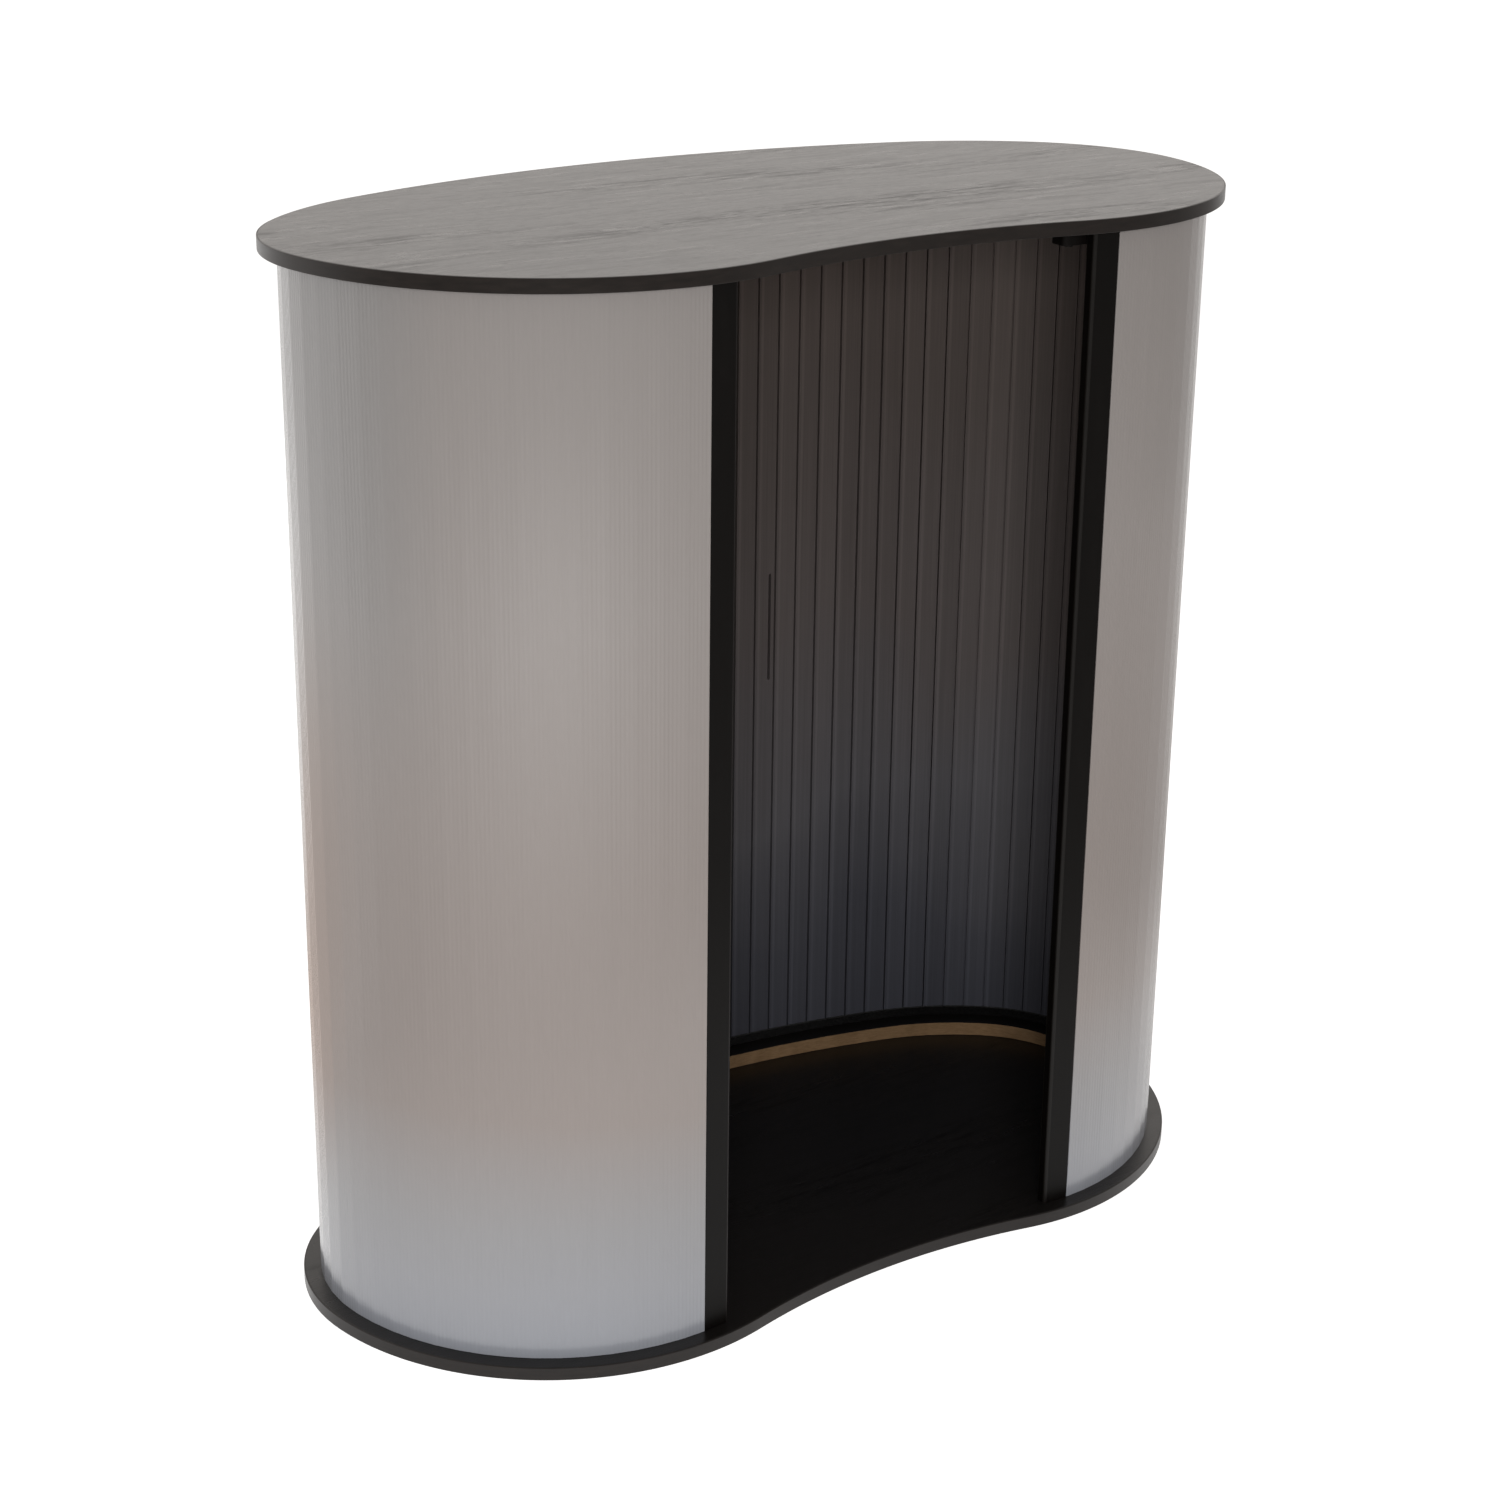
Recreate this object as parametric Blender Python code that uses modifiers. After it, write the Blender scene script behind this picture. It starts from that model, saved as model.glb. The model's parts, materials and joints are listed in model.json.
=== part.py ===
"""Exhibition counter: a kidney-shaped base and worktop with a slatted wall wrapped round them.

X runs along the counter, +Y points to the convex front, -Y to the hollow side with the opening,
and Z goes up from the underside of the base. All lengths are in metres.
"""

import functools
import math

import bmesh
import bpy
from mathutils import Matrix, Vector

# Overall sizes
COUNTER_HEIGHT = 1.000
PANEL_THICKNESS = 0.013
OPENING_WIDTH = 0.388

# Plan outline of the base and the worktop: tangent arcs from the front centre round to the hollow
BULGE_RADIUS = 1.050
BULGE_TURN = math.radians(17.3)
SHOULDER_RADIUS = 0.308
SHOULDER_TURN = math.radians(25.7)
END_RADIUS = 0.178
END_TURN = math.radians(53.8)
LOBE_RADIUS = 0.262
HOLLOW_RADIUS = 0.700
OUTLINE_STEP = 0.024

# Edge band of the panels, trimmed a little short of both faces
EDGE_BAND_THICKNESS = 0.0010
EDGE_BAND_TRIM = 0.0003

# Wrapped wall
WRAP_INSET = 0.016
SKIN_THICKNESS = 0.0012
SLAT_PITCH = 0.0236
SLAT_GAP = 0.0022
SLAT_THICKNESS = 0.0072
BACKING_THICKNESS = 0.0006
SLAT_SECTIONS = ("left_rear_slats", "left_end_slats", "front_slats", "right_end_slats", "right_rear_slats")

# Slot in one slat of the front wall
SLOT_FROM_FRONT_CENTRE = 0.170
SLOT_WIDTH = 0.003
SLOT_LENGTH = 0.117
SLOT_ACROSS_SLAT_SHARE = 0.72
SLOT_CENTRE_HEIGHT_SHARE = 0.505

# End posts
POST_WIDTH = 0.028
POST_LIP_WIDTH = 0.010
POST_CORNER_RADIUS = 0.003

# Locating rings and their hook-and-loop tape
RING_THICKNESS = 0.015
RING_WIDTH = 0.023
RING_SETBACK = 0.032
TAPE_THICKNESS = 0.0015
TAPE_HEIGHT = 0.024

# Turn catch under the worktop, behind the right post
CATCH_THICKNESS = 0.0125
CATCH_WIDTH = 0.022
CATCH_ARM = 0.042
CATCH_HEEL = 0.013
CATCH_CORNER_RADIUS = 0.006
CATCH_PIVOT_FROM_POST = 0.010
CATCH_POST_CLEARANCE = 0.001
CATCH_SWING_CLEARANCE = 0.003
CATCH_GROOVE_LENGTH = 0.010
CATCH_GROOVE_DEPTH = 0.0065
CATCH_GROOVE_HEIGHT = 0.0055
WASHER_RADIUS = 0.008
WASHER_THICKNESS = 0.0015
STUD_RADIUS = 0.002
STUD_REACH = 0.0055
STUD_SEAT_DEPTH = 0.006

# Fasteners
RING_SCREW_COUNT = 6
RING_SCREW_LENGTH = 0.022
RING_SCREW_RADIUS = 0.002
RING_SCREW_HEAD_RADIUS = 0.004
RING_SCREW_HEAD_DEPTH = 0.0022
RING_SCREW_END_MARGIN = 0.055
POST_SCREW_HEIGHT_SHARES = (0.14, 0.5, 0.86)
POST_SCREW_RADIUS = 0.0015
POST_SCREW_LENGTH = 0.0085
POST_SCREW_HEAD_RADIUS = 0.003
POST_SCREW_HEAD_DEPTH = 0.0018
PAN_HEAD_CROWN_SHARE = 0.7
CATCH_SCREW_RADIUS = 0.002
CATCH_SCREW_GRIP = 0.008
CATCH_SCREW_HEAD_RADIUS = 0.0045
CATCH_SCREW_HEAD_DEPTH = 0.0025

# Fits
FIT_GAP = 0.0003
CUT_OVERRUN = 0.002
WELD_DISTANCE = 0.00001
ROUND_STEPS = 10
CORNER_STEPS = 4
SHARP_ANGLE = math.radians(35)

# Depths behind the wall's outer face, one layer after the other
BACKING_OUTER = SKIN_THICKNESS + FIT_GAP
BACKING_INNER = BACKING_OUTER + BACKING_THICKNESS
SLAT_INNER = BACKING_INNER + SLAT_THICKNESS
LOOP_OUTER = SLAT_INNER + FIT_GAP
LOOP_INNER = LOOP_OUTER + TAPE_THICKNESS
HOOK_OUTER = LOOP_INNER + FIT_GAP
HOOK_INNER = HOOK_OUTER + TAPE_THICKNESS
POST_DEPTH = HOOK_INNER
RING_OUTER = HOOK_INNER + FIT_GAP
RING_INNER = RING_OUTER + RING_WIDTH

# Heights, from the base up
WALL_BOTTOM = PANEL_THICKNESS + FIT_GAP
WALL_TOP = COUNTER_HEIGHT - PANEL_THICKNESS - FIT_GAP
TOP_RING_BOTTOM = WALL_TOP - RING_THICKNESS
WASHER_BOTTOM = WALL_TOP - WASHER_THICKNESS
CATCH_TOP = WASHER_BOTTOM - FIT_GAP
CATCH_BOTTOM = CATCH_TOP - CATCH_THICKNESS
CATCH_MIDDLE = (CATCH_TOP + CATCH_BOTTOM) / 2

# Finishes: name, base colour, roughness, metallic
BLACK_ASH = ("black_ash_laminate", (0.090, 0.086, 0.082), 0.45, 0.0)
BLACK_EDGE = ("black_edge_band", (0.020, 0.018, 0.017), 0.40, 0.0)
RAW_BOARD = ("raw_fibreboard", (0.280, 0.190, 0.110), 0.85, 0.0)
SILVER_SKIN = ("silver_ribbed_skin", (0.420, 0.405, 0.390), 0.50, 0.0)
DARK_SLAT = ("dark_slat", (0.050, 0.042, 0.038), 0.55, 0.0)
BLACK_PROFILE = ("black_profile", (0.015, 0.014, 0.013), 0.45, 0.0)
BLACK_TAPE = ("black_hook_and_loop", (0.008, 0.008, 0.008), 0.95, 0.0)
BLACK_MOULDING = ("black_moulding", (0.020, 0.017, 0.015), 0.50, 0.0)
ZINC = ("zinc_plated_steel", (0.550, 0.550, 0.540), 0.35, 1.0)
BLACK_STEEL = ("blackened_steel", (0.030, 0.028, 0.027), 0.40, 1.0)


def clear_scene():
    """Remove every object that the file opened with."""
    for scene_object in list(bpy.data.objects):
        bpy.data.objects.remove(scene_object, do_unlink=True)


def new_collection(name):
    """Add a collection under the scene's own."""
    collection = bpy.data.collections.new(name)
    bpy.context.scene.collection.children.link(collection)
    return collection


def new_material(name, colour, roughness, metallic):
    """A Principled material with one colour."""
    material = bpy.data.materials.new(name)
    material.use_nodes = True
    surface = material.node_tree.nodes["Principled BSDF"]
    surface.inputs["Base Color"].default_value = (*colour, 1.0)
    surface.inputs["Roughness"].default_value = roughness
    surface.inputs["Metallic"].default_value = metallic
    material.diffuse_color = (*colour, 1.0)
    return material


def add_part(name, mesh, finish, place=Matrix.Identity(4)):
    """Make a named piece of the counter from a mesh."""
    finish_name, colour, roughness, metallic = finish
    mesh.name = name
    mesh.materials.clear()
    mesh.materials.append(new_material(f"{name}_{finish_name}", colour, roughness, metallic))
    mesh.shade_smooth()
    mesh.set_sharp_from_angle(angle=SHARP_ANGLE)
    return place_part(name, mesh, place)


def place_part(name, mesh, place):
    """Put a named object with a finished mesh at its place in the counter."""
    piece = bpy.data.objects.new(name, mesh)
    piece.matrix_basis = place
    piece.parent = counter_origin
    parts.objects.link(piece)
    return piece


def add_screws(name, profile, places):
    """Make one numbered screw at each place, all from one turned mesh."""
    mesh = turned(profile)
    first = add_part(f"{name}_1", mesh, ZINC, places[0])
    for number, place in enumerate(places[1:], 2):
        place_part(f"{name}_{number}", first.data, place)


def add_cutter(name, mesh):
    """Make a solid that only cuts other solids."""
    cutter = bpy.data.objects.new(name, mesh)
    cutter.hide_render = True
    cutter.display_type = "WIRE"
    cutters.objects.link(cutter)
    return cutter


def cut(piece, cutter):
    """Take a cutter away from a piece with a Boolean modifier."""
    modifier = piece.modifiers.new(cutter.name, "BOOLEAN")
    modifier.operation = "DIFFERENCE"
    modifier.solver = "EXACT"
    modifier.object = cutter


def evaluated_mesh(source):
    """Turn an object as the viewport shows it into a welded mesh, and remove the object."""
    bpy.context.view_layer.update()
    depsgraph = bpy.context.evaluated_depsgraph_get()
    mesh = bpy.data.meshes.new_from_object(source.evaluated_get(depsgraph))
    bpy.data.objects.remove(source, do_unlink=True)
    shape = bmesh.new()
    shape.from_mesh(mesh)
    bmesh.ops.remove_doubles(shape, verts=shape.verts, dist=WELD_DISTANCE)
    bmesh.ops.recalc_face_normals(shape, faces=shape.faces)
    shape.to_mesh(mesh)
    shape.free()
    return mesh


def slab(loops, low, high):
    """A flat outline, with any holes, filled and given a thickness from low to high."""
    curve = bpy.data.curves.new("slab_outline", "CURVE")
    curve.dimensions = "2D"
    curve.fill_mode = "BOTH"
    curve.extrude = (high - low) / 2
    for loop in loops:
        spline = curve.splines.new("POLY")
        spline.points.add(len(loop) - 1)
        for point, place in zip(spline.points, loop):
            point.co = (place[0], place[1], 0.0, 1.0)
        spline.use_cyclic_u = True
    outline = bpy.data.objects.new("slab_outline", curve)
    bpy.context.scene.collection.objects.link(outline)
    mesh = evaluated_mesh(outline)
    mesh.transform(Matrix.Translation((0.0, 0.0, (low + high) / 2)))
    return mesh


def turned(profile):
    """A profile of radius and height, from its top down its outer side, turned about Z."""
    mesh = bpy.data.meshes.new("turned_profile")
    edges = [(index, index + 1) for index in range(len(profile) - 1)]
    mesh.from_pydata([(radius, 0.0, height) for radius, height in profile], edges, [])
    spun = bpy.data.objects.new("turned_profile", mesh)
    bpy.context.scene.collection.objects.link(spun)
    screw = spun.modifiers.new("turn", "SCREW")
    screw.steps = ROUND_STEPS
    screw.render_steps = ROUND_STEPS
    screw.use_merge_vertices = True
    screw.merge_threshold = WELD_DISTANCE
    return evaluated_mesh(spun)


def copies(mesh, places):
    """One mesh that holds a copy of another at each place, as separate closed bodies."""
    shape = bmesh.new()
    for place in places:
        first = len(shape.verts)
        shape.from_mesh(mesh)
        shape.verts.ensure_lookup_table()
        bmesh.ops.transform(shape, matrix=place, verts=shape.verts[first:])
    group = bpy.data.meshes.new("copies")
    shape.to_mesh(group)
    shape.free()
    return group


def box(size, place):
    """A box of a given size, centred on a place."""
    shape = bmesh.new()
    bmesh.ops.create_cube(shape, size=1.0, matrix=place @ Matrix.Diagonal((*size, 1.0)))
    mesh = bpy.data.meshes.new("box")
    shape.to_mesh(mesh)
    shape.free()
    return mesh


@functools.cache
def plan_arcs():
    """Arcs of the outline's right half as centre, signed radius and the normal's two angles.

    The normal's angle is measured from +Y towards +X, and a hollow arc has a negative radius.
    """
    arcs = []
    centre = Vector((0.0, -BULGE_RADIUS))
    radius = BULGE_RADIUS
    angle = 0.0
    stretches = ((BULGE_RADIUS, BULGE_TURN), (SHOULDER_RADIUS, SHOULDER_TURN), (END_RADIUS, END_TURN))
    for next_radius, turn in stretches:
        centre = centre + (radius - next_radius) * normal_at(angle)
        radius = next_radius
        arcs.append((centre, radius, angle, angle + turn))
        angle += turn
    centre = centre + (radius - LOBE_RADIUS) * normal_at(angle)
    spread = math.asin(centre.x / (LOBE_RADIUS + HOLLOW_RADIUS))
    arcs.append((centre, LOBE_RADIUS, angle, math.pi + spread))
    hollow_centre = centre + (LOBE_RADIUS + HOLLOW_RADIUS) * normal_at(math.pi + spread)
    arcs.append((hollow_centre, -HOLLOW_RADIUS, math.pi + spread, math.pi))
    half_depth = (LOBE_RADIUS - centre.y) / 2
    shift = Vector((0.0, half_depth))
    return [(middle + shift, signed, start, end) for middle, signed, start, end in arcs]


def normal_at(angle):
    """Unit vector at an angle from +Y towards +X."""
    return Vector((math.sin(angle), math.cos(angle)))


def half_length(inset):
    """Length of the right half of the outline at an inset."""
    return sum(abs(signed - inset) * abs(end - start) for _, signed, start, end in plan_arcs())


def outline_point(distance, inset):
    """Point at a distance from the front centre, to the right, or to the left if negative."""
    remaining = min(abs(distance), half_length(inset))
    for centre, signed, start, end in plan_arcs():
        radius = signed - inset
        run = abs(radius) * abs(end - start)
        angle = start + (end - start) * min(remaining / run, 1.0)
        if remaining <= run:
            break
        remaining -= run
    point = centre + radius * normal_at(angle)
    return Vector((math.copysign(point.x, distance), point.y))


def closed_outline(inset):
    """Evenly spaced points all round the panel outline at an inset."""
    half = half_length(inset)
    count = 2 * round(half_length(0.0) / OUTLINE_STEP)
    return [outline_point(-half + 2 * half * index / count, inset) for index in range(count)]


def distance_at_side(across, inset):
    """Distance from the front centre to the rear point that lies this far from the middle plane."""
    high = half_length(inset)
    low = high / 2
    while high - low > WELD_DISTANCE / 2:
        middle = (low + high) / 2
        if outline_point(middle, inset).x > across:
            low = middle
        else:
            high = middle
    return low


def wall_line():
    """Corners of the wall's outer face: post edge, then one flat a slat, then the other post."""
    opening = distance_at_side(OPENING_WIDTH / 2, WRAP_INSET)
    ends = opening - POST_WIDTH
    count = 2 * round(ends / SLAT_PITCH - 0.5) + 1
    stations = [-opening] + [-ends + 2 * ends * index / count for index in range(count + 1)] + [opening]
    return [outline_point(station, WRAP_INSET) for station in stations], count


def line_length(line):
    """Length of an open line of points."""
    return sum((after - before).length for before, after in zip(line, line[1:]))


def point_along(line, distance):
    """Point on a line at a distance from its start, with the direction there."""
    for before, after in zip(line, line[1:]):
        run = (after - before).length
        if distance <= run:
            break
        distance -= run
    direction = (after - before).normalized()
    return before + min(distance, run) * direction, direction


def trimmed(line, from_start, from_end):
    """The line without a length at its start and a length at its end."""
    stop = line_length(line) - from_end
    kept = [point_along(line, from_start)[0]]
    distance = 0.0
    for before, after in zip(line, line[1:]):
        distance += (after - before).length
        if from_start + FIT_GAP < distance < stop - FIT_GAP:
            kept.append(after)
    kept.append(point_along(line, stop)[0])
    return kept


def inward(direction):
    """Unit vector to the inner side of a line that runs from the left post to the right one."""
    return Vector((direction.y, -direction.x))


def inset_line(line, depth):
    """The line moved inwards by a depth, with its corners mitred."""
    normals = [inward((after - before).normalized()) for before, after in zip(line, line[1:])]
    moved = []
    for index, point in enumerate(line):
        first = normals[max(index - 1, 0)]
        second = normals[min(index, len(normals) - 1)]
        bisector = (first + second).normalized()
        moved.append(point + depth / bisector.dot(first) * bisector)
    return moved


def strip(line, outer, inner, low, high):
    """A standing strip that follows the line between two depths and two heights."""
    loop = inset_line(line, outer) + inset_line(line, inner)[::-1]
    return slab([loop], low, high)


def rounded(corners, radii):
    """A closed outline whose convex or hollow corners are rounded, each with its own radius."""
    loop = []
    for index, corner in enumerate(corners):
        radius = radii[index]
        if not radius:
            loop.append(Vector(corner))
            continue
        corner = Vector(corner)
        back = (Vector(corners[index - 1]) - corner).normalized()
        onward = (Vector(corners[(index + 1) % len(corners)]) - corner).normalized()
        half_angle = back.angle(onward) / 2
        centre = corner + (back + onward).normalized() * radius / math.sin(half_angle)
        start = corner + back * radius / math.tan(half_angle) - centre
        end = corner + onward * radius / math.tan(half_angle) - centre
        for step in range(CORNER_STEPS + 1):
            share = step / CORNER_STEPS
            loop.append(centre + (start * (1 - share) + end * share).normalized() * radius)
    return loop


def countersunk(head_radius, head_depth, shank_radius, length):
    """Profile of a countersunk screw that points up, with its head's face at zero."""
    return [
        (0.0, length),
        (shank_radius, length),
        (shank_radius, head_depth),
        (head_radius, 0.0),
        (0.0, 0.0),
    ]


def pan_head(head_radius, head_depth, shank_radius, length):
    """Profile of a pan-head screw that points up, with its head's seat at zero."""
    return [
        (0.0, length),
        (shank_radius, length),
        (shank_radius, 0.0),
        (head_radius, 0.0),
        (head_radius, -head_depth / 2),
        (head_radius * PAN_HEAD_CROWN_SHARE, -head_depth),
        (0.0, -head_depth),
    ]


def rod(radius, low, high):
    """Profile of a plain round rod."""
    return [(0.0, high), (radius, high), (radius, low), (0.0, low)]


def hole_for(profile):
    """Profile of the hole that a turned piece sits in, open past the foot of the piece."""
    side = [(radius + FIT_GAP, height) for radius, height in profile[1:-1]]
    deepest = profile[0][1] + FIT_GAP
    mouth = profile[-1][1] - CUT_OVERRUN
    side[0] = (side[0][0], deepest)
    return [(0.0, deepest), *side, (side[-1][0], mouth), (0.0, mouth)]


def end_frames(line, side):
    """Frames of a post's flat and of the first slat's flat, each with its corner nearer the opening.

    A frame is a corner of the wall with the directions along the wall and inwards.
    """
    ordered = line[:3] if side == "left" else line[:-4:-1]
    frames = []
    for start, end in zip(ordered, ordered[1:]):
        along = (end - start).normalized()
        frames.append((start, along, inward(along) if side == "left" else -inward(along)))
    return frames


def in_frame(frame, along_distance, depth):
    """Plan point at a distance along the wall and a depth behind its outer face."""
    corner, along, into = frame
    return corner + along_distance * along + depth * into


def facing(point, height, direction):
    """Placement of a round piece whose own Z axis points along a plan direction."""
    turn = Vector((0.0, 0.0, 1.0)).rotation_difference(Vector((direction.x, direction.y, 0.0)))
    return Matrix.Translation((point.x, point.y, height)) @ turn.to_matrix().to_4x4()


def standing(point, height, along):
    """Placement of a piece that stands against the wall: X along it, Y up and Z inwards."""
    into = inward(along)
    return Matrix((
        (along.x, 0.0, into.x, point.x),
        (along.y, 0.0, into.y, point.y),
        (0.0, 1.0, 0.0, height),
        (0.0, 0.0, 0.0, 1.0),
    ))


def build_panel(level, low, screw_cutters):
    """The base board or the worktop, with its edge band."""
    high = low + PANEL_THICKNESS
    board = slab([closed_outline(EDGE_BAND_THICKNESS + FIT_GAP)], low, high)
    panel = add_part(f"{level}_panel", board, BLACK_ASH)
    for cutter in screw_cutters:
        cut(panel, cutter)
    loops = [closed_outline(0.0), closed_outline(EDGE_BAND_THICKNESS)]
    band = slab(loops, low + EDGE_BAND_TRIM, high - EDGE_BAND_TRIM)
    add_part(f"{level}_edge_band", band, BLACK_EDGE)


def build_ring(level, line, low, head_height):
    """A C-shaped locating ring with its screws, and the cutter for their holes."""
    ring_mesh = strip(line, RING_OUTER, RING_INNER, low, low + RING_THICKNESS)
    ring = add_part(f"{level}_ring", ring_mesh, RAW_BOARD)
    centre_line = inset_line(line, (RING_OUTER + RING_INNER) / 2)
    run = line_length(centre_line) - 2 * RING_SCREW_END_MARGIN
    places = []
    for index in range(RING_SCREW_COUNT):
        distance = RING_SCREW_END_MARGIN + run * index / (RING_SCREW_COUNT - 1)
        point = point_along(centre_line, distance)[0]
        places.append(Matrix.Translation((point.x, point.y, head_height)))
    profile = countersunk(
        RING_SCREW_HEAD_RADIUS, RING_SCREW_HEAD_DEPTH, RING_SCREW_RADIUS, RING_SCREW_LENGTH
    )
    add_screws(f"{level}_ring_screw", profile, places)
    cutter = add_cutter(f"{level}_ring_screw_holes", copies(turned(hole_for(profile)), places))
    cut(ring, cutter)
    return cutter


def build_tapes(line):
    """Hook tape on each ring and loop tape on the slats, at the foot and at the head."""
    ends = POST_WIDTH + POST_LIP_WIDTH + FIT_GAP
    run = trimmed(line, ends, ends)
    levels = {
        "foot": (WALL_BOTTOM, WALL_BOTTOM + TAPE_HEIGHT),
        "head": (WALL_TOP - TAPE_HEIGHT, WALL_TOP),
    }
    for level, (low, high) in levels.items():
        add_part(f"{level}_loop_tape", strip(run, LOOP_OUTER, LOOP_INNER, low, high), BLACK_TAPE)
        add_part(f"{level}_hook_tape", strip(run, HOOK_OUTER, HOOK_INNER, low, high), BLACK_TAPE)


def build_skin(line):
    """The ribbed outer sheet, flat over each slat and bent between them."""
    ends = POST_WIDTH + FIT_GAP
    sheet = strip(trimmed(line, ends, ends), 0.0, SKIN_THICKNESS, WALL_BOTTOM, WALL_TOP)
    add_part("wrap_skin", sheet, SILVER_SKIN)


def comb_outline(flats, bare):
    """Plan outline of a run of slats on their backing, where the bare one has backing only."""
    outer = [in_flat(flats[0], FIT_GAP, BACKING_OUTER)]
    inner = [in_flat(flats[0], FIT_GAP, BACKING_INNER)]
    for index, flat in enumerate(flats):
        length = (flat[1] - flat[0]).length
        if index:
            outer += inset_line([flats[index - 1][0], flat[0], flat[1]], BACKING_OUTER)[1:2]
        low = SLAT_GAP / 2
        high = length - SLAT_GAP / 2
        inner.append(in_flat(flat, low, BACKING_INNER))
        if index != bare:
            inner.append(in_flat(flat, low, SLAT_INNER))
            inner.append(in_flat(flat, high, SLAT_INNER))
        inner.append(in_flat(flat, high, BACKING_INNER))
    last = (flats[-1][1] - flats[-1][0]).length - FIT_GAP
    outer.append(in_flat(flats[-1], last, BACKING_OUTER))
    inner.append(in_flat(flats[-1], last, BACKING_INNER))
    return outer + inner[::-1]


def in_flat(flat, distance, depth):
    """Plan point at a distance along a flat of the wall and a depth behind it."""
    direction = (flat[1] - flat[0]).normalized()
    return flat[0] + distance * direction + depth * inward(direction)


def build_slats(line, count, post_cutters):
    """All slats on their backing, in sections along the wall, and the slotted one by itself."""
    flats = list(zip(line, line[1:]))[1:-1]
    pitch = (flats[0][1] - flats[0][0]).length
    slotted = count // 2 + round(SLOT_FROM_FRONT_CENTRE / pitch)
    for number, name in enumerate(SLAT_SECTIONS):
        first = math.ceil(number * count / len(SLAT_SECTIONS))
        stop = math.ceil((number + 1) * count / len(SLAT_SECTIONS))
        outline = comb_outline(flats[first:stop], slotted - first)
        section = add_part(name, slab([outline], WALL_BOTTOM, WALL_TOP), DARK_SLAT)
        for side, cutter in post_cutters.items():
            if name == f"{side}_rear_slats":
                cut(section, cutter)
    flat = flats[slotted]
    sides = (SLAT_GAP / 2, pitch - SLAT_GAP / 2)
    depths = (BACKING_INNER + FIT_GAP, SLAT_INNER)
    corners = [in_flat(flat, distance, depths[0]) for distance in sides]
    corners += [in_flat(flat, distance, depths[1]) for distance in sides[::-1]]
    slat = add_part("slotted_slat", slab([corners], WALL_BOTTOM, WALL_TOP), DARK_SLAT)
    cut(slat, slot_cutter(flat))


def slot_cutter(flat):
    """Cutter for the narrow upright slot with round ends."""
    half_width = SLOT_WIDTH / 2
    straight = SLOT_LENGTH / 2 - half_width
    angles = [math.pi * step / ROUND_STEPS for step in range(ROUND_STEPS + 1)]
    upper = [(half_width * math.cos(angle), straight + half_width * math.sin(angle)) for angle in angles]
    lower = [(-across, -up) for across, up in upper]
    reach = SLAT_THICKNESS / 2 + CUT_OVERRUN
    mesh = slab([upper + lower], -reach, reach)
    start, end = flat
    middle = in_flat(flat, SLOT_ACROSS_SLAT_SHARE * (end - start).length, (BACKING_INNER + SLAT_INNER) / 2)
    height = WALL_BOTTOM + SLOT_CENTRE_HEIGHT_SHARE * (WALL_TOP - WALL_BOTTOM)
    mesh.transform(standing(middle, height, (end - start).normalized()))
    return add_cutter("slat_slot", mesh)


def post_section(post_frame, slat_frame):
    """Plan section of a post, with the lip that laps behind the first slat."""
    mitre = (post_frame[2] + slat_frame[2]).normalized()
    inner_corner = slat_frame[0] + POST_DEPTH / mitre.dot(slat_frame[2]) * mitre
    corners = [
        in_frame(post_frame, 0.0, 0.0),
        in_frame(slat_frame, 0.0, 0.0),
        in_frame(slat_frame, 0.0, LOOP_OUTER),
        in_frame(slat_frame, POST_LIP_WIDTH, LOOP_OUTER),
        in_frame(slat_frame, POST_LIP_WIDTH, POST_DEPTH),
        inner_corner,
        in_frame(post_frame, 0.0, POST_DEPTH),
    ]
    return rounded(corners, [POST_CORNER_RADIUS, 0.0, 0.0, 0.0, 0.0, 0.0, POST_CORNER_RADIUS])


def build_post(line, side):
    """An end post with the screws through its lip, and the cutter for their holes."""
    post_frame, slat_frame = end_frames(line, side)
    section = post_section(post_frame, slat_frame)
    post = add_part(f"{side}_post", slab([section], WALL_BOTTOM, WALL_TOP), BLACK_PROFILE)
    seat = in_frame(slat_frame, POST_LIP_WIDTH / 2, POST_DEPTH + FIT_GAP)
    places = [
        facing(seat, WALL_BOTTOM + share * (WALL_TOP - WALL_BOTTOM), -slat_frame[2])
        for share in POST_SCREW_HEIGHT_SHARES
    ]
    profile = pan_head(
        POST_SCREW_HEAD_RADIUS, POST_SCREW_HEAD_DEPTH, POST_SCREW_RADIUS, POST_SCREW_LENGTH
    )
    add_screws(f"{side}_post_screw", profile, places)
    hole = turned(hole_for(rod(POST_SCREW_RADIUS, 0.0, POST_SCREW_LENGTH)))
    cutter = add_cutter(f"{side}_post_screw_holes", copies(hole, places))
    cut(post, cutter)
    return post, cutter


def build_stud(frame, post):
    """The stud on the rear of the right post that the catch closes round."""
    seat = in_frame(frame, POST_WIDTH / 2, POST_DEPTH)
    place = facing(seat, CATCH_MIDDLE, frame[2])
    stud = turned(rod(STUD_RADIUS, FIT_GAP - STUD_SEAT_DEPTH, STUD_REACH))
    add_part("catch_stud", stud, ZINC, place)
    hole = turned(rod(STUD_RADIUS + FIT_GAP, -STUD_SEAT_DEPTH, CUT_OVERRUN))
    cut(post, add_cutter("catch_stud_hole", copies(hole, [place])))


def ring_of_points(centre, radius):
    """Evenly spaced points on a circle."""
    angles = [2 * math.pi * step / ROUND_STEPS for step in range(ROUND_STEPS)]
    return [centre + radius * normal_at(angle) for angle in angles]


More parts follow.
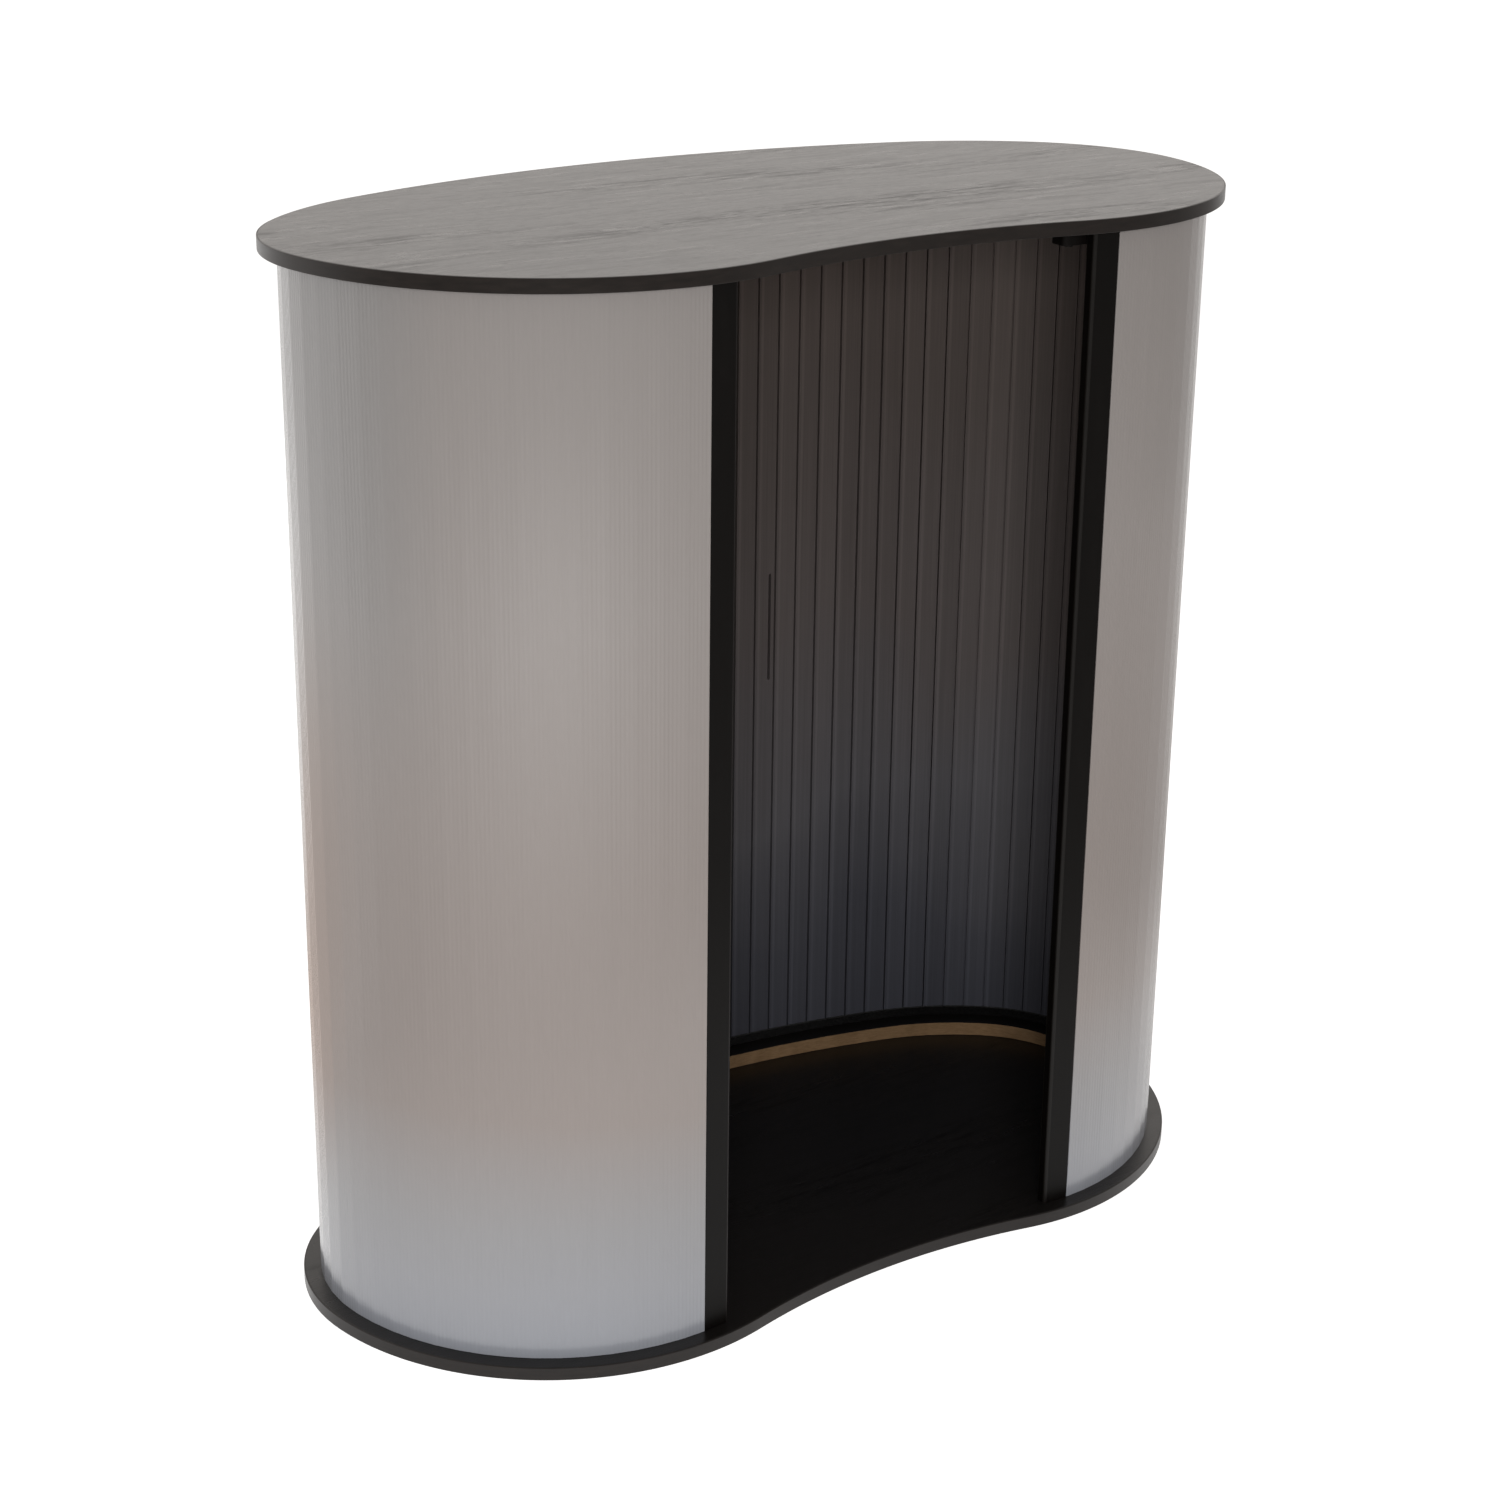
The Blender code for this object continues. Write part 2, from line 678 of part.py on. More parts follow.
def build_catch(frame):
    """The turn catch with its washer and screw, and the cutter for the screw's hole."""
    half_width = CATCH_WIDTH / 2
    pivot = in_frame(frame, -CATCH_PIVOT_FROM_POST, POST_DEPTH + CATCH_POST_CLEARANCE + half_width)
    turn = math.atan2(frame[1].y, frame[1].x)
    corners = [
        (-CATCH_HEEL, -half_width),
        (CATCH_ARM, -half_width),
        (CATCH_ARM, half_width),
        (-CATCH_HEEL, half_width),
    ]
    plate = rounded(corners, [CATCH_CORNER_RADIUS] * len(corners))
    bore_radius = CATCH_SCREW_RADIUS + FIT_GAP
    bore = ring_of_points(Vector((0.0, 0.0)), bore_radius)
    catch_mesh = slab([plate, bore], -CATCH_THICKNESS / 2, CATCH_THICKNESS / 2)
    stand = Matrix.Translation((pivot.x, pivot.y, CATCH_MIDDLE)) @ Matrix.Rotation(turn, 4, "Z")
    catch = add_part("turn_catch", catch_mesh, BLACK_MOULDING, stand)
    groove_size = (CATCH_GROOVE_LENGTH, CATCH_GROOVE_DEPTH + CUT_OVERRUN, CATCH_GROOVE_HEIGHT)
    groove_middle = Vector((
        CATCH_PIVOT_FROM_POST + POST_WIDTH / 2,
        (CATCH_GROOVE_DEPTH - CUT_OVERRUN) / 2 - half_width,
        0.0,
    ))
    cut(catch, add_cutter("catch_groove", box(groove_size, stand @ Matrix.Translation(groove_middle))))

    washer = [ring_of_points(pivot, radius) for radius in (WASHER_RADIUS, bore_radius)]
    add_part("catch_washer", slab(washer, WASHER_BOTTOM, WALL_TOP), ZINC)

    seat = CATCH_BOTTOM - FIT_GAP
    length = COUNTER_HEIGHT - PANEL_THICKNESS + CATCH_SCREW_GRIP - seat
    place = Matrix.Translation((pivot.x, pivot.y, seat))
    profile = pan_head(CATCH_SCREW_HEAD_RADIUS, CATCH_SCREW_HEAD_DEPTH, CATCH_SCREW_RADIUS, length)
    add_part("catch_screw", turned(profile), BLACK_STEEL, place)
    hole = turned(hole_for(rod(CATCH_SCREW_RADIUS, 0.0, length)))
    return add_cutter("catch_screw_hole", copies(hole, [place]))


def main():
    """Build the counter from the base up."""
    line, count = wall_line()
    right_frame = end_frames(line, "right")[0]

    base_line = trimmed(line, RING_SETBACK, RING_SETBACK)
    base_holes = build_ring("base", base_line, WALL_BOTTOM, FIT_GAP)
    build_panel("base", 0.0, [base_holes])

    post_holes = {}
    _, post_holes["left"] = build_post(line, "left")
    right_post, post_holes["right"] = build_post(line, "right")
    build_skin(line)
    build_slats(line, count, post_holes)
    build_tapes(line)

    swing_reach = math.hypot(CATCH_ARM - CATCH_CORNER_RADIUS, CATCH_WIDTH / 2 - CATCH_CORNER_RADIUS)
    setback = swing_reach + CATCH_CORNER_RADIUS - CATCH_PIVOT_FROM_POST + CATCH_SWING_CLEARANCE
    top_line = trimmed(line, RING_SETBACK, setback)
    top_holes = build_ring("top", top_line, TOP_RING_BOTTOM, TOP_RING_BOTTOM + FIT_GAP)
    catch_hole = build_catch(right_frame)
    build_stud(right_frame, right_post)
    build_panel("top", COUNTER_HEIGHT - PANEL_THICKNESS, [top_holes, catch_hole])


clear_scene()
parts = new_collection("exhibition_counter")
cutters = new_collection("cutters")
counter_origin = bpy.data.objects.new("counter_origin", None)
parts.objects.link(counter_origin)
main()
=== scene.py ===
"""Looks of the exhibition counter: its boards, rolled slatted wall, end posts, rings, tape and turn catch.

The wall is modelled flat, as it lies when it is unrolled: X runs along it from the front centre, the
outer face is at Y = 0 with the inside at negative Y, and Z is up. It is then rolled round the boards.
"""

from __future__ import annotations

import json
import logging
import math
from abc import ABC, abstractmethod
from collections.abc import Callable, Iterator
from contextlib import contextmanager
from dataclasses import dataclass, field
from enum import Enum

import bmesh
import bpy
from mathutils import Matrix, Vector

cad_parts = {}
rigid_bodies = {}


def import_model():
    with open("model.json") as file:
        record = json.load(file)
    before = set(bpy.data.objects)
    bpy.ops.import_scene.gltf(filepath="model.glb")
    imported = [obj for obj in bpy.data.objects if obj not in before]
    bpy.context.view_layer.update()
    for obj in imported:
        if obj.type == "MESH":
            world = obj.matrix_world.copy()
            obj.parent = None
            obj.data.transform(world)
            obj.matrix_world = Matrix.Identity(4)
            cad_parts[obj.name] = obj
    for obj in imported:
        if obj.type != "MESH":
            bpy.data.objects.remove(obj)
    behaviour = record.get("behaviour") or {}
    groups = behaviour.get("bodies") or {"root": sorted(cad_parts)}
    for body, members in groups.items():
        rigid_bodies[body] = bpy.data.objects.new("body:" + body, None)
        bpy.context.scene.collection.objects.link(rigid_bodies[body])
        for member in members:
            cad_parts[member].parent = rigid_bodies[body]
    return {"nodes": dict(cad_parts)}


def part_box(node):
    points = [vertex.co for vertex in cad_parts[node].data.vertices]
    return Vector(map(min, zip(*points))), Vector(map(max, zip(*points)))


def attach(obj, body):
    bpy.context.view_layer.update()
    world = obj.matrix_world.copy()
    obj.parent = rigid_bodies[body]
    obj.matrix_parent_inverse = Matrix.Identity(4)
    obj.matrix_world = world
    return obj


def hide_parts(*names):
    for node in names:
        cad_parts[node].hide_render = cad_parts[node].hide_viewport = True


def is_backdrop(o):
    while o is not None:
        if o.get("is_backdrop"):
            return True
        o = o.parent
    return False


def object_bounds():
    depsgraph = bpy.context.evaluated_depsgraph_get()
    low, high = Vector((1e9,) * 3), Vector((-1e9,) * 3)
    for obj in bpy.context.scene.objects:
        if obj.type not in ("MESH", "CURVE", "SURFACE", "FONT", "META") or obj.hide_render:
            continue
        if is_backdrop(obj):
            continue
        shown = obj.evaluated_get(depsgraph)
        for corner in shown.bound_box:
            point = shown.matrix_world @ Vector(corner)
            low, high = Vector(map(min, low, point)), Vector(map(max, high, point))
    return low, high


log = logging.getLogger("exhibition_counter")

Material = bpy.types.Material
World = bpy.types.World
Triple = tuple[float, float, float]
Sockets = dict[str, object]
Test = Callable[[Vector, Vector], bool]

CLOSE = 1e-5  # Distance below which two places are the same, in metres.
PARALLEL = 0.9  # Share of a direction along an axis above which it counts as along it.
SQUARE = 0.1  # The same share below which it counts as square to it.
OVERSHOOT = 0.01  # How far a cutter stands out of what it cuts, in metres.
SIDES = ((-1.0, "left"), (1.0, "right"))


# ---- Shader expressions ----


class Signal:
    """A shader socket that takes part in arithmetic."""

    def __init__(self, graph: Graph, socket: bpy.types.NodeSocket) -> None:
        """Wrap an output socket of one of a graph's nodes."""
        self.graph = graph
        self.socket = socket

    def _with(self, operation: str, *others: Signal | float, swap: bool = False) -> Signal:
        """Combine this signal with others in a Math node, as the last operand where swap is set."""
        terms = [*others, self] if swap else [self, *others]
        return self.graph.node("ShaderNodeMath", {"operation": operation}, dict(enumerate(terms)))

    def __add__(self, other: Signal | float) -> Signal:
        """Sum of two signals."""
        return self._with("ADD", other)

    def __sub__(self, other: Signal | float) -> Signal:
        """Difference of two signals."""
        return self._with("SUBTRACT", other)

    def __rsub__(self, other: float) -> Signal:
        """Difference from a number on the left."""
        return self._with("SUBTRACT", other, swap=True)

    def __mul__(self, other: Signal | float) -> Signal:
        """Product of two signals."""
        return self._with("MULTIPLY", other)

    __radd__ = __add__
    __rmul__ = __mul__

    def size(self) -> Signal:
        """Signal without its sign."""
        return self._with("ABSOLUTE")

    def floor(self) -> Signal:
        """Whole number below the signal."""
        return self._with("FLOOR")

    def or_more(self, other: Signal | float) -> Signal:
        """Larger of two signals."""
        return self._with("MAXIMUM", other)

    def between(self, low: float, high: float) -> Signal:
        """Smooth step from 0 at the low value to 1 at the high one."""
        settings = {"interpolation_type": "SMOOTHSTEP"}
        return self.graph.node("ShaderNodeMapRange", settings, {0: self, 1: low, 2: high, 3: 0.0, 4: 1.0})


class Graph:
    """Node graph of one material, or of the world."""

    def __init__(self, owner: Material | World) -> None:
        """Empty the graph of its owner.

        Args:
            owner: Material or world that the graph belongs to.
        """
        self.owner = owner
        owner.use_nodes = True
        self.tree = owner.node_tree
        self.tree.nodes.clear()

    def node(
        self, kind: str, settings: dict[str, object], inputs: dict[int | str, object], output: int | str = 0
    ) -> Signal:
        """Add a node.

        Args:
            kind: Blender's name of the node type.
            settings: Properties to set first, with ramp stops under "stops".
            inputs: Value or signal of each socket, by index or name.
            output: Socket to return.

        Returns:
            The chosen output.
        """
        node = self.tree.nodes.new(kind)
        for key, value in settings.items():
            if key == "stops":
                while len(node.color_ramp.elements) < len(value):
                    node.color_ramp.elements.new(1.0)
                for element, (place, colour) in zip(node.color_ramp.elements, value):
                    element.position = place
                    element.color = (*colour, 1.0)
            else:
                setattr(node, key, value)
        for key, value in inputs.items():
            if isinstance(value, Signal):
                self.tree.links.new(value.socket, node.inputs[key])
            else:
                node.inputs[key].default_value = value
        return Signal(self, node.outputs[output])

    def place(self) -> Signal:
        """Position on the counter, in metres."""
        return self.node("ShaderNodeTexCoord", {}, {}, "Object")

    def laid_flat(self) -> Signal:
        """Position on the unrolled wall, in metres, from the piece's UV map."""
        return self.node("ShaderNodeTexCoord", {}, {}, "UV")

    def ray(self, kind: str) -> Signal:
        """1 for a ray of a kind, such as Camera."""
        return self.node("ShaderNodeLightPath", {}, {}, f"Is {kind} Ray")

    def part(self, vector: Signal, axis: int) -> Signal:
        """One coordinate of a vector."""
        return self.node("ShaderNodeSeparateXYZ", {}, {0: vector}, axis)

    def noise(self, vector: Signal, scale: float, detail: float = 2.0, roughness: float = 0.5) -> Signal:
        """Smooth noise from 0 to 1, with a number of waves a metre and a number of octaves."""
        inputs = {"Vector": vector, "Scale": scale, "Detail": detail, "Roughness": roughness}
        return self.node("ShaderNodeTexNoise", {}, inputs)

    def grain(self, vector: Signal, waves: Triple, detail: float = 2.0, roughness: float = 0.5) -> Signal:
        """The same noise, with its own number of waves a metre along each axis."""
        stretched = self.node("ShaderNodeMapping", {}, {"Vector": vector, "Scale": waves})
        return self.noise(stretched, 1.0, detail, roughness)

    def ramp(self, factor: Signal, stops: list[tuple[float, Triple]]) -> Signal:
        """Colour that changes with a factor from 0 to 1."""
        return self.node("ShaderNodeValToRGB", {"stops": stops}, {0: factor})

    def blend(self, factor: Signal | float, first: object, second: object, way: str = "MIX") -> Signal:
        """Mix two colours.

        Args:
            factor: Share of the second.
            first: Colour or signal.
            second: Colour or signal.
            way: Blend type.

        Returns:
            The mixed colour.
        """
        shades = [(*shade, 1.0) if isinstance(shade, tuple) else shade for shade in (first, second)]
        settings = {"data_type": "RGBA", "blend_type": way}
        return self.node("ShaderNodeMix", settings, {0: factor, 6: shades[0], 7: shades[1]}, 2)

    def lit(self, colour: object, red: Signal, green: Signal, blue: Signal) -> Signal:
        """Colour times a level for each of its channels."""
        levels = self.node("ShaderNodeCombineColor", {}, {0: red, 1: green, 2: blue})
        return self.blend(1.0, colour, levels, "MULTIPLY")

    def relief(self, height: Signal, depth: float, strength: float) -> Signal:
        """Bumped normal, where a height of 1 is a depth in metres."""
        return self.node("ShaderNodeBump", {}, {"Strength": strength, "Distance": depth, "Height": height})

    def surface(self, shader: Signal) -> Material | World:
        """End in a shader.

        Args:
            shader: Output of the last shader.

        Returns:
            The material or world.
        """
        kind = "World" if isinstance(self.owner, World) else "Material"
        end = self.tree.nodes.new(f"ShaderNodeOutput{kind}")
        self.tree.links.new(shader.socket, end.inputs["Surface"])
        return self.owner


# ---- Finishes ----


class Finish(ABC):
    """What a surface is made of."""

    slot: str

    @abstractmethod
    def sockets(self, graph: Graph) -> Sockets:
        """Values and signals of the shader's sockets."""

    def material(self) -> Material:
        """New material with this finish."""
        graph = Graph(bpy.data.materials.new(self.slot))
        return graph.surface(graph.node("ShaderNodeBsdfPrincipled", {}, self.sockets(graph)))


@dataclass(frozen=True)
class BlackAshLaminate(Finish):
    """Black ash laminate with its grain along the counter."""

    dark: Triple = (0.0020, 0.0018, 0.0017)
    light: Triple = (0.0078, 0.0069, 0.0062)
    gloss: float = 0.92
    pore_depth: float = 0.00022
    slot: str = "black_ash_laminate"

    def sockets(self, graph: Graph) -> Sockets:
        """Plain lanes between wandering bands of open grain, over a fine fibre.

        Args:
            graph: Graph of the material.

        Returns:
            The shader's sockets.
        """
        place = graph.place()
        sway = graph.grain(place, (1.6, 2.4, 1.0))
        ripple = graph.grain(place, (9.0, 6.0, 1.0), 1.0)
        across = graph.part(place, 1) + 0.060 * sway + 0.005 * ripple
        lane = graph.node("ShaderNodeCombineXYZ", {}, {0: graph.part(place, 0), 1: across})
        bands = graph.grain(lane, (1.3, 11.0, 1.0)).between(0.48, 0.66)
        streaks = graph.grain(lane, (11.0, 95.0, 1.0), 2.0, 0.6).between(0.46, 0.64)
        dashes = graph.grain(lane, (38.0, 300.0, 1.0), 2.0, 0.6).between(0.50, 0.66)
        pores = graph.grain(lane, (90.0, 1100.0, 1.0), 1.0, 0.4).between(0.54, 0.68)
        glints = graph.grain(lane, (13.0, 110.0, 1.0), 1.0).between(0.50, 0.72)
        fibre = graph.grain(lane, (25.0, 2600.0, 1.0), 2.0, 0.6)
        veined = 0.40 + 0.60 * bands
        open_grain = (0.22 + 0.78 * bands) * (0.60 * streaks + 0.40 * dashes)
        open_pores = pores * veined
        height = 0.25 * fibre - 0.7 * open_pores - 0.6 * open_grain
        matt = 0.27 + 0.20 * open_grain + 0.11 * open_pores + 0.04 * fibre
        return {
            "Base Color": graph.blend(open_grain.or_more(open_pores), self.light, self.dark),
            "Roughness": matt - 0.07 * self.gloss * (glints * veined),
            "Specular IOR Level": self.gloss,
            "Normal": graph.relief(height, self.pore_depth, 0.6),
        }


@dataclass(frozen=True)
class BlackEdgeBand(Finish):
    """Thin black plastic band with a faint printed grain along it."""

    colour: Triple = (0.0098, 0.0072, 0.0060)
    slot: str = "black_edge_band"

    def sockets(self, graph: Graph) -> Sockets:
        """A satin band with faint lengthwise scuffs.

        Args:
            graph: Graph of the material.

        Returns:
            The shader's sockets.
        """
        place = graph.place()
        grain = graph.grain(place, (55.0, 55.0, 300.0), 3.0, 0.6)
        lift = 0.10 + 1.65 * grain + 0.25 * graph.noise(place, 9.0)
        return {
            "Base Color": graph.lit(self.colour, lift, lift, lift),
            "Roughness": 0.25 + 0.14 * grain,
            "Specular IOR Level": 0.36,
            "Normal": graph.relief(grain, 0.00004, 0.5),
        }


@dataclass(frozen=True)
class RawBoard(Finish):
    """Sawn edge of fibreboard."""

    pale: Triple = (0.270, 0.172, 0.094)
    dark: Triple = (0.150, 0.092, 0.046)
    slot: str = "raw_fibreboard"

    def sockets(self, graph: Graph) -> Sockets:
        """Speckled fibres in flat layers.

        Args:
            graph: Graph of the material.

        Returns:
            The shader's sockets.
        """
        place = graph.place()
        layers = graph.grain(place, (120.0, 120.0, 900.0), 3.0, 0.65)
        specks = graph.noise(place, 1900.0, 2.0, 0.6)
        blotch = graph.noise(place, 45.0, 3.0, 0.6)
        mix = (0.55 * layers + 0.30 * specks + 0.35 * blotch).between(0.35, 0.85)
        return {
            "Base Color": graph.blend(mix, self.pale, self.dark),
            "Roughness": 0.80 + 0.12 * specks,
            "Specular IOR Level": 0.25,
            "Normal": graph.relief(0.6 * layers + 0.4 * specks, 0.00012, 0.7),
        }


@dataclass(frozen=True)
class SilverSkin(Finish):
    """Satin silver plastic with fine drawn lines along its ribs."""

    slot: str = "silver_ribbed_skin"

    def sockets(self, graph: Graph) -> Sockets:
        """Grey in painted light: warmer at mid height, cooler at the foot and the head of the left end,
        darker under the worktop.

        Args:
            graph: Graph of the material.

        Returns:
            The shader's sockets.
        """
        place = graph.place()
        flat = graph.laid_flat()
        drift = graph.grain(place, (2.2, 2.2, 1.4))
        # Painted light along the height: a cool foot, a warm middle, and painted shade darkening the head
        # under the worktop.
        body = graph.ramp(graph.part(place, 2) + 0.08 * drift - 0.04, [
            (0.00, (0.300, 0.320, 0.362)),
            (0.07, (0.314, 0.323, 0.350)),
            (0.13, (0.303, 0.304, 0.316)),
            (0.24, (0.293, 0.258, 0.243)),
            (0.45, (0.290, 0.259, 0.245)),
            (0.70, (0.294, 0.272, 0.262)),
            (1.00, (0.254, 0.238, 0.230)),
        ])
        # Painted cool light on the head of the left end.
        cool = (-1.0 * graph.part(place, 0)).between(0.41, 0.48) * graph.part(place, 2).between(0.50, 0.78)
        lines = graph.grain(flat, (1400.0, 4.0, 1.0), 3.0, 0.7)
        lift = 0.955 + 0.05 * lines + 0.04 * graph.grain(flat, (160.0, 3.0, 1.0))
        return {
            "Base Color": graph.lit(body, lift * (1.0 - 0.08 * cool), lift * (1.0 - 0.03 * cool), lift),
            "Roughness": 0.17 + 0.10 * lines,
            "Specular IOR Level": 0.60,
            "Coat Weight": 0.55,
            "Coat Roughness": 0.12,
            "Normal": graph.relief(lines, 0.00003, 0.5),
        }


@dataclass(frozen=True)
class DarkSlat(Finish):
    """Extruded dark slat with fine upright die lines, each slat of its own tone."""

    pitch: float
    start: float
    slot: str = "dark_slat"

    def sockets(self, graph: Graph) -> Sockets:
        """Brown-black at the head and cooler, darker at the foot, in painted light and shade; painted
        highlights line its edges.

        Args:
            graph: Graph of the material.

        Returns:
            The shader's sockets.
        """
        place = graph.place()
        flat = graph.laid_flat()
        count = (graph.part(flat, 0) - self.start) * (1 / self.pitch)
        number = count.floor()
        own = graph.node("ShaderNodeTexWhiteNoise", {"noise_dimensions": "1D"}, {"W": number})
        # Painted highlight: each slat is lighter along its edges, where the arrises would catch the light.
        worn = (2.0 * (count - number) - 1.0).size().between(0.86, 0.93)
        lines = graph.grain(flat, (700.0, 4.0, 1.0), 3.0, 0.7)
        broad = graph.grain(flat, (230.0, 2.5, 1.0))
        # Painted light and shade along the height: warm at the head, darker and cooler at the foot.
        body = graph.ramp(graph.part(place, 2) + 0.22 * graph.noise(place, 5.0) - 0.11, [
            (0.00, (0.050, 0.052, 0.064)),
            (0.14, (0.060, 0.061, 0.073)),
            (0.30, (0.094, 0.091, 0.099)),
            (0.50, (0.095, 0.082, 0.080)),
            (0.75, (0.083, 0.069, 0.064)),
            (1.00, (0.082, 0.063, 0.055)),
        ])
        lift = 0.62 + 0.16 * own + 0.46 * lines + 0.22 * broad + 0.22 * worn
        return {
            "Base Color": graph.lit(body, lift, lift, lift),
            "Roughness": 0.46 + 0.12 * lines,
            "Specular IOR Level": 0.30,
            "Normal": graph.relief(0.7 * lines + 0.3 * broad, 0.00006, 0.6),
        }


@dataclass(frozen=True)
class BlackProfile(Finish):
    """Black extruded profile with a faint lengthwise draw and light scuffs."""

    colour: Triple = (0.0022, 0.0017, 0.0014)
    dusty: Triple = (0.0085, 0.0074, 0.0068)
    gloss: float = 0.12
    slot: str = "black_profile"

    def sockets(self, graph: Graph) -> Sockets:
        """Satin black, dustier in soft patches.

        Args:
            graph: Graph of the material.

        Returns:
            The shader's sockets.
        """
        place = graph.place()
        draw = graph.grain(place, (1500.0, 1500.0, 6.0), 2.0, 0.6)
        dust = graph.grain(place, (30.0, 30.0, 8.0), 4.0, 0.65).between(0.5, 0.8)
        return {
            "Base Color": graph.blend(0.25 * dust + 0.15 * draw, self.colour, self.dusty),
            "Roughness": 0.34 + 0.12 * draw + 0.12 * dust,
            "Specular IOR Level": self.gloss,
            "Normal": graph.relief(draw, 0.00004, 0.5),
        }


@dataclass(frozen=True)
class BlackPile(Finish):
    """Black hook-and-loop pile."""

    root: Triple = (0.0015, 0.0014, 0.0014)
    tip: Triple = (0.0042, 0.0038, 0.0036)
    slot: str = "black_hook_and_loop"

    def sockets(self, graph: Graph) -> Sockets:
        """Matt tufts in rows.

        Args:
            graph: Graph of the material.

        Returns:
            The shader's sockets.
        """
        flat = graph.laid_flat()
        inputs = {"Vector": flat, "Scale": 950.0, "Randomness": 0.55}
        tufts = graph.node("ShaderNodeTexVoronoi", {"feature": "F1"}, inputs)
        height = 1.0 - tufts.between(0.0, 0.7) + 0.3 * graph.noise(flat, 3200.0, 2.0, 0.6)
        return {
            "Base Color": graph.blend(height.between(0.2, 1.3), self.root, self.tip),
            "Roughness": 0.95,
            "Specular IOR Level": 0.15,
            "Sheen Weight": 0.15,
            "Normal": graph.relief(height, 0.0005, 0.8),
        }


@dataclass(frozen=True)
class BlackMoulding(Finish):
    """Moulded black plastic with a fine spark texture."""

    # Painted shade: darker than plain black plastic, for the shade that the worktop's edge casts on the
    # catch.
    colour: Triple = (0.0028, 0.0022, 0.0019)
    worn: Triple = (0.0090, 0.0078, 0.0072)
    slot: str = "black_moulding"

    def sockets(self, graph: Graph) -> Sockets:
        """Fine grain with handling polish.

        Args:
            graph: Graph of the material.

        Returns:
            The shader's sockets.
        """
        place = graph.place()
        grain = graph.noise(place, 2400.0, 2.0, 0.6)
        return {
            "Base Color": graph.blend(0.3 * grain, self.colour, self.worn),
            "Roughness": 0.38 + 0.18 * graph.noise(place, 90.0, 3.0, 0.6),
            "Specular IOR Level": 0.12,
            "Normal": graph.relief(grain, 0.00008, 0.6),
        }


@dataclass(frozen=True)
class ZincPlate(Finish):
    """Bright zinc plate with a faint yellow-blue passivation."""

    blue: Triple = (0.50, 0.51, 0.53)
    yellow: Triple = (0.62, 0.60, 0.54)
    slot: str = "zinc_plated_steel"

    def sockets(self, graph: Graph) -> Sockets:
        """Cloudy plate with fine turning marks.

        Args:
            graph: Graph of the material.

        Returns:
            The shader's sockets.
        """
        place = graph.place()
        cloud = graph.noise(place, 260.0, 3.0, 0.6)
        marks = graph.grain(place, (300.0, 300.0, 4000.0), 2.0, 0.6)
        return {
            "Base Color": graph.blend(cloud, self.blue, self.yellow),
            "Metallic": 1.0,
            "Roughness": 0.26 + 0.16 * cloud,
            "Normal": graph.relief(marks, 0.00003, 0.5),
        }


@dataclass(frozen=True)
class BlackenedSteel(Finish):
    """Black zinc on a small screw."""

    dark: Triple = (0.022, 0.020, 0.019)
    bright: Triple = (0.085, 0.080, 0.076)
    slot: str = "blackened_steel"

    def sockets(self, graph: Graph) -> Sockets:
        """Thin black plate, brighter in spots where it wears.

        Args:
            graph: Graph of the material.

        Returns:
            The shader's sockets.
        """
        place = graph.place()
        cloud = graph.noise(place, 420.0, 3.0, 0.6)
        worn = graph.noise(place, 900.0, 3.0, 0.7).between(0.62, 0.78)
        return {
            "Base Color": graph.blend(0.2 * cloud + 0.5 * worn, self.dark, self.bright),
            "Metallic": 1.0,
            "Roughness": 0.34 + 0.14 * cloud,
            "Normal": graph.relief(cloud, 0.00003, 0.5),
        }


# ---- The bench: pieces and the operators that shape them ----


class Pick(Enum):
    """What an operator works on."""

    CORNERS = "VERT"
    EDGES = "EDGE"
    FACES = "FACE"


def runs(axis: int) -> Test:
    """Test for edges along an axis."""
    return lambda _, along: abs(along[axis]) > PARALLEL


def level_edge(_: Vector, along: Vector) -> bool:
    """Whether an edge is level."""
    return abs(along.z) < SQUARE


def looks_up(_: Vector, normal: Vector) -> bool:
    """Whether a face looks up."""
    return normal.z > PARALLEL


def middle_and_way(
    element: bmesh.types.BMVert | bmesh.types.BMEdge | bmesh.types.BMFace
) -> tuple[Vector, Vector]:
    """Find where an element is and which way it goes.

    Args:
        element: Corner, edge or face.

    Returns:
        Its middle, and its normal or an edge's direction.
    """
    if isinstance(element, bmesh.types.BMVert):
        return element.co, element.normal
    if isinstance(element, bmesh.types.BMFace):
        return element.calc_center_median(), element.normal
    start, stop = (corner.co for corner in element.verts)
    return (start + stop) / 2, (stop - start).normalized()


def cleared() -> None:
    """Deselect every object."""
    for other in bpy.context.selected_objects:
        other.select_set(False)


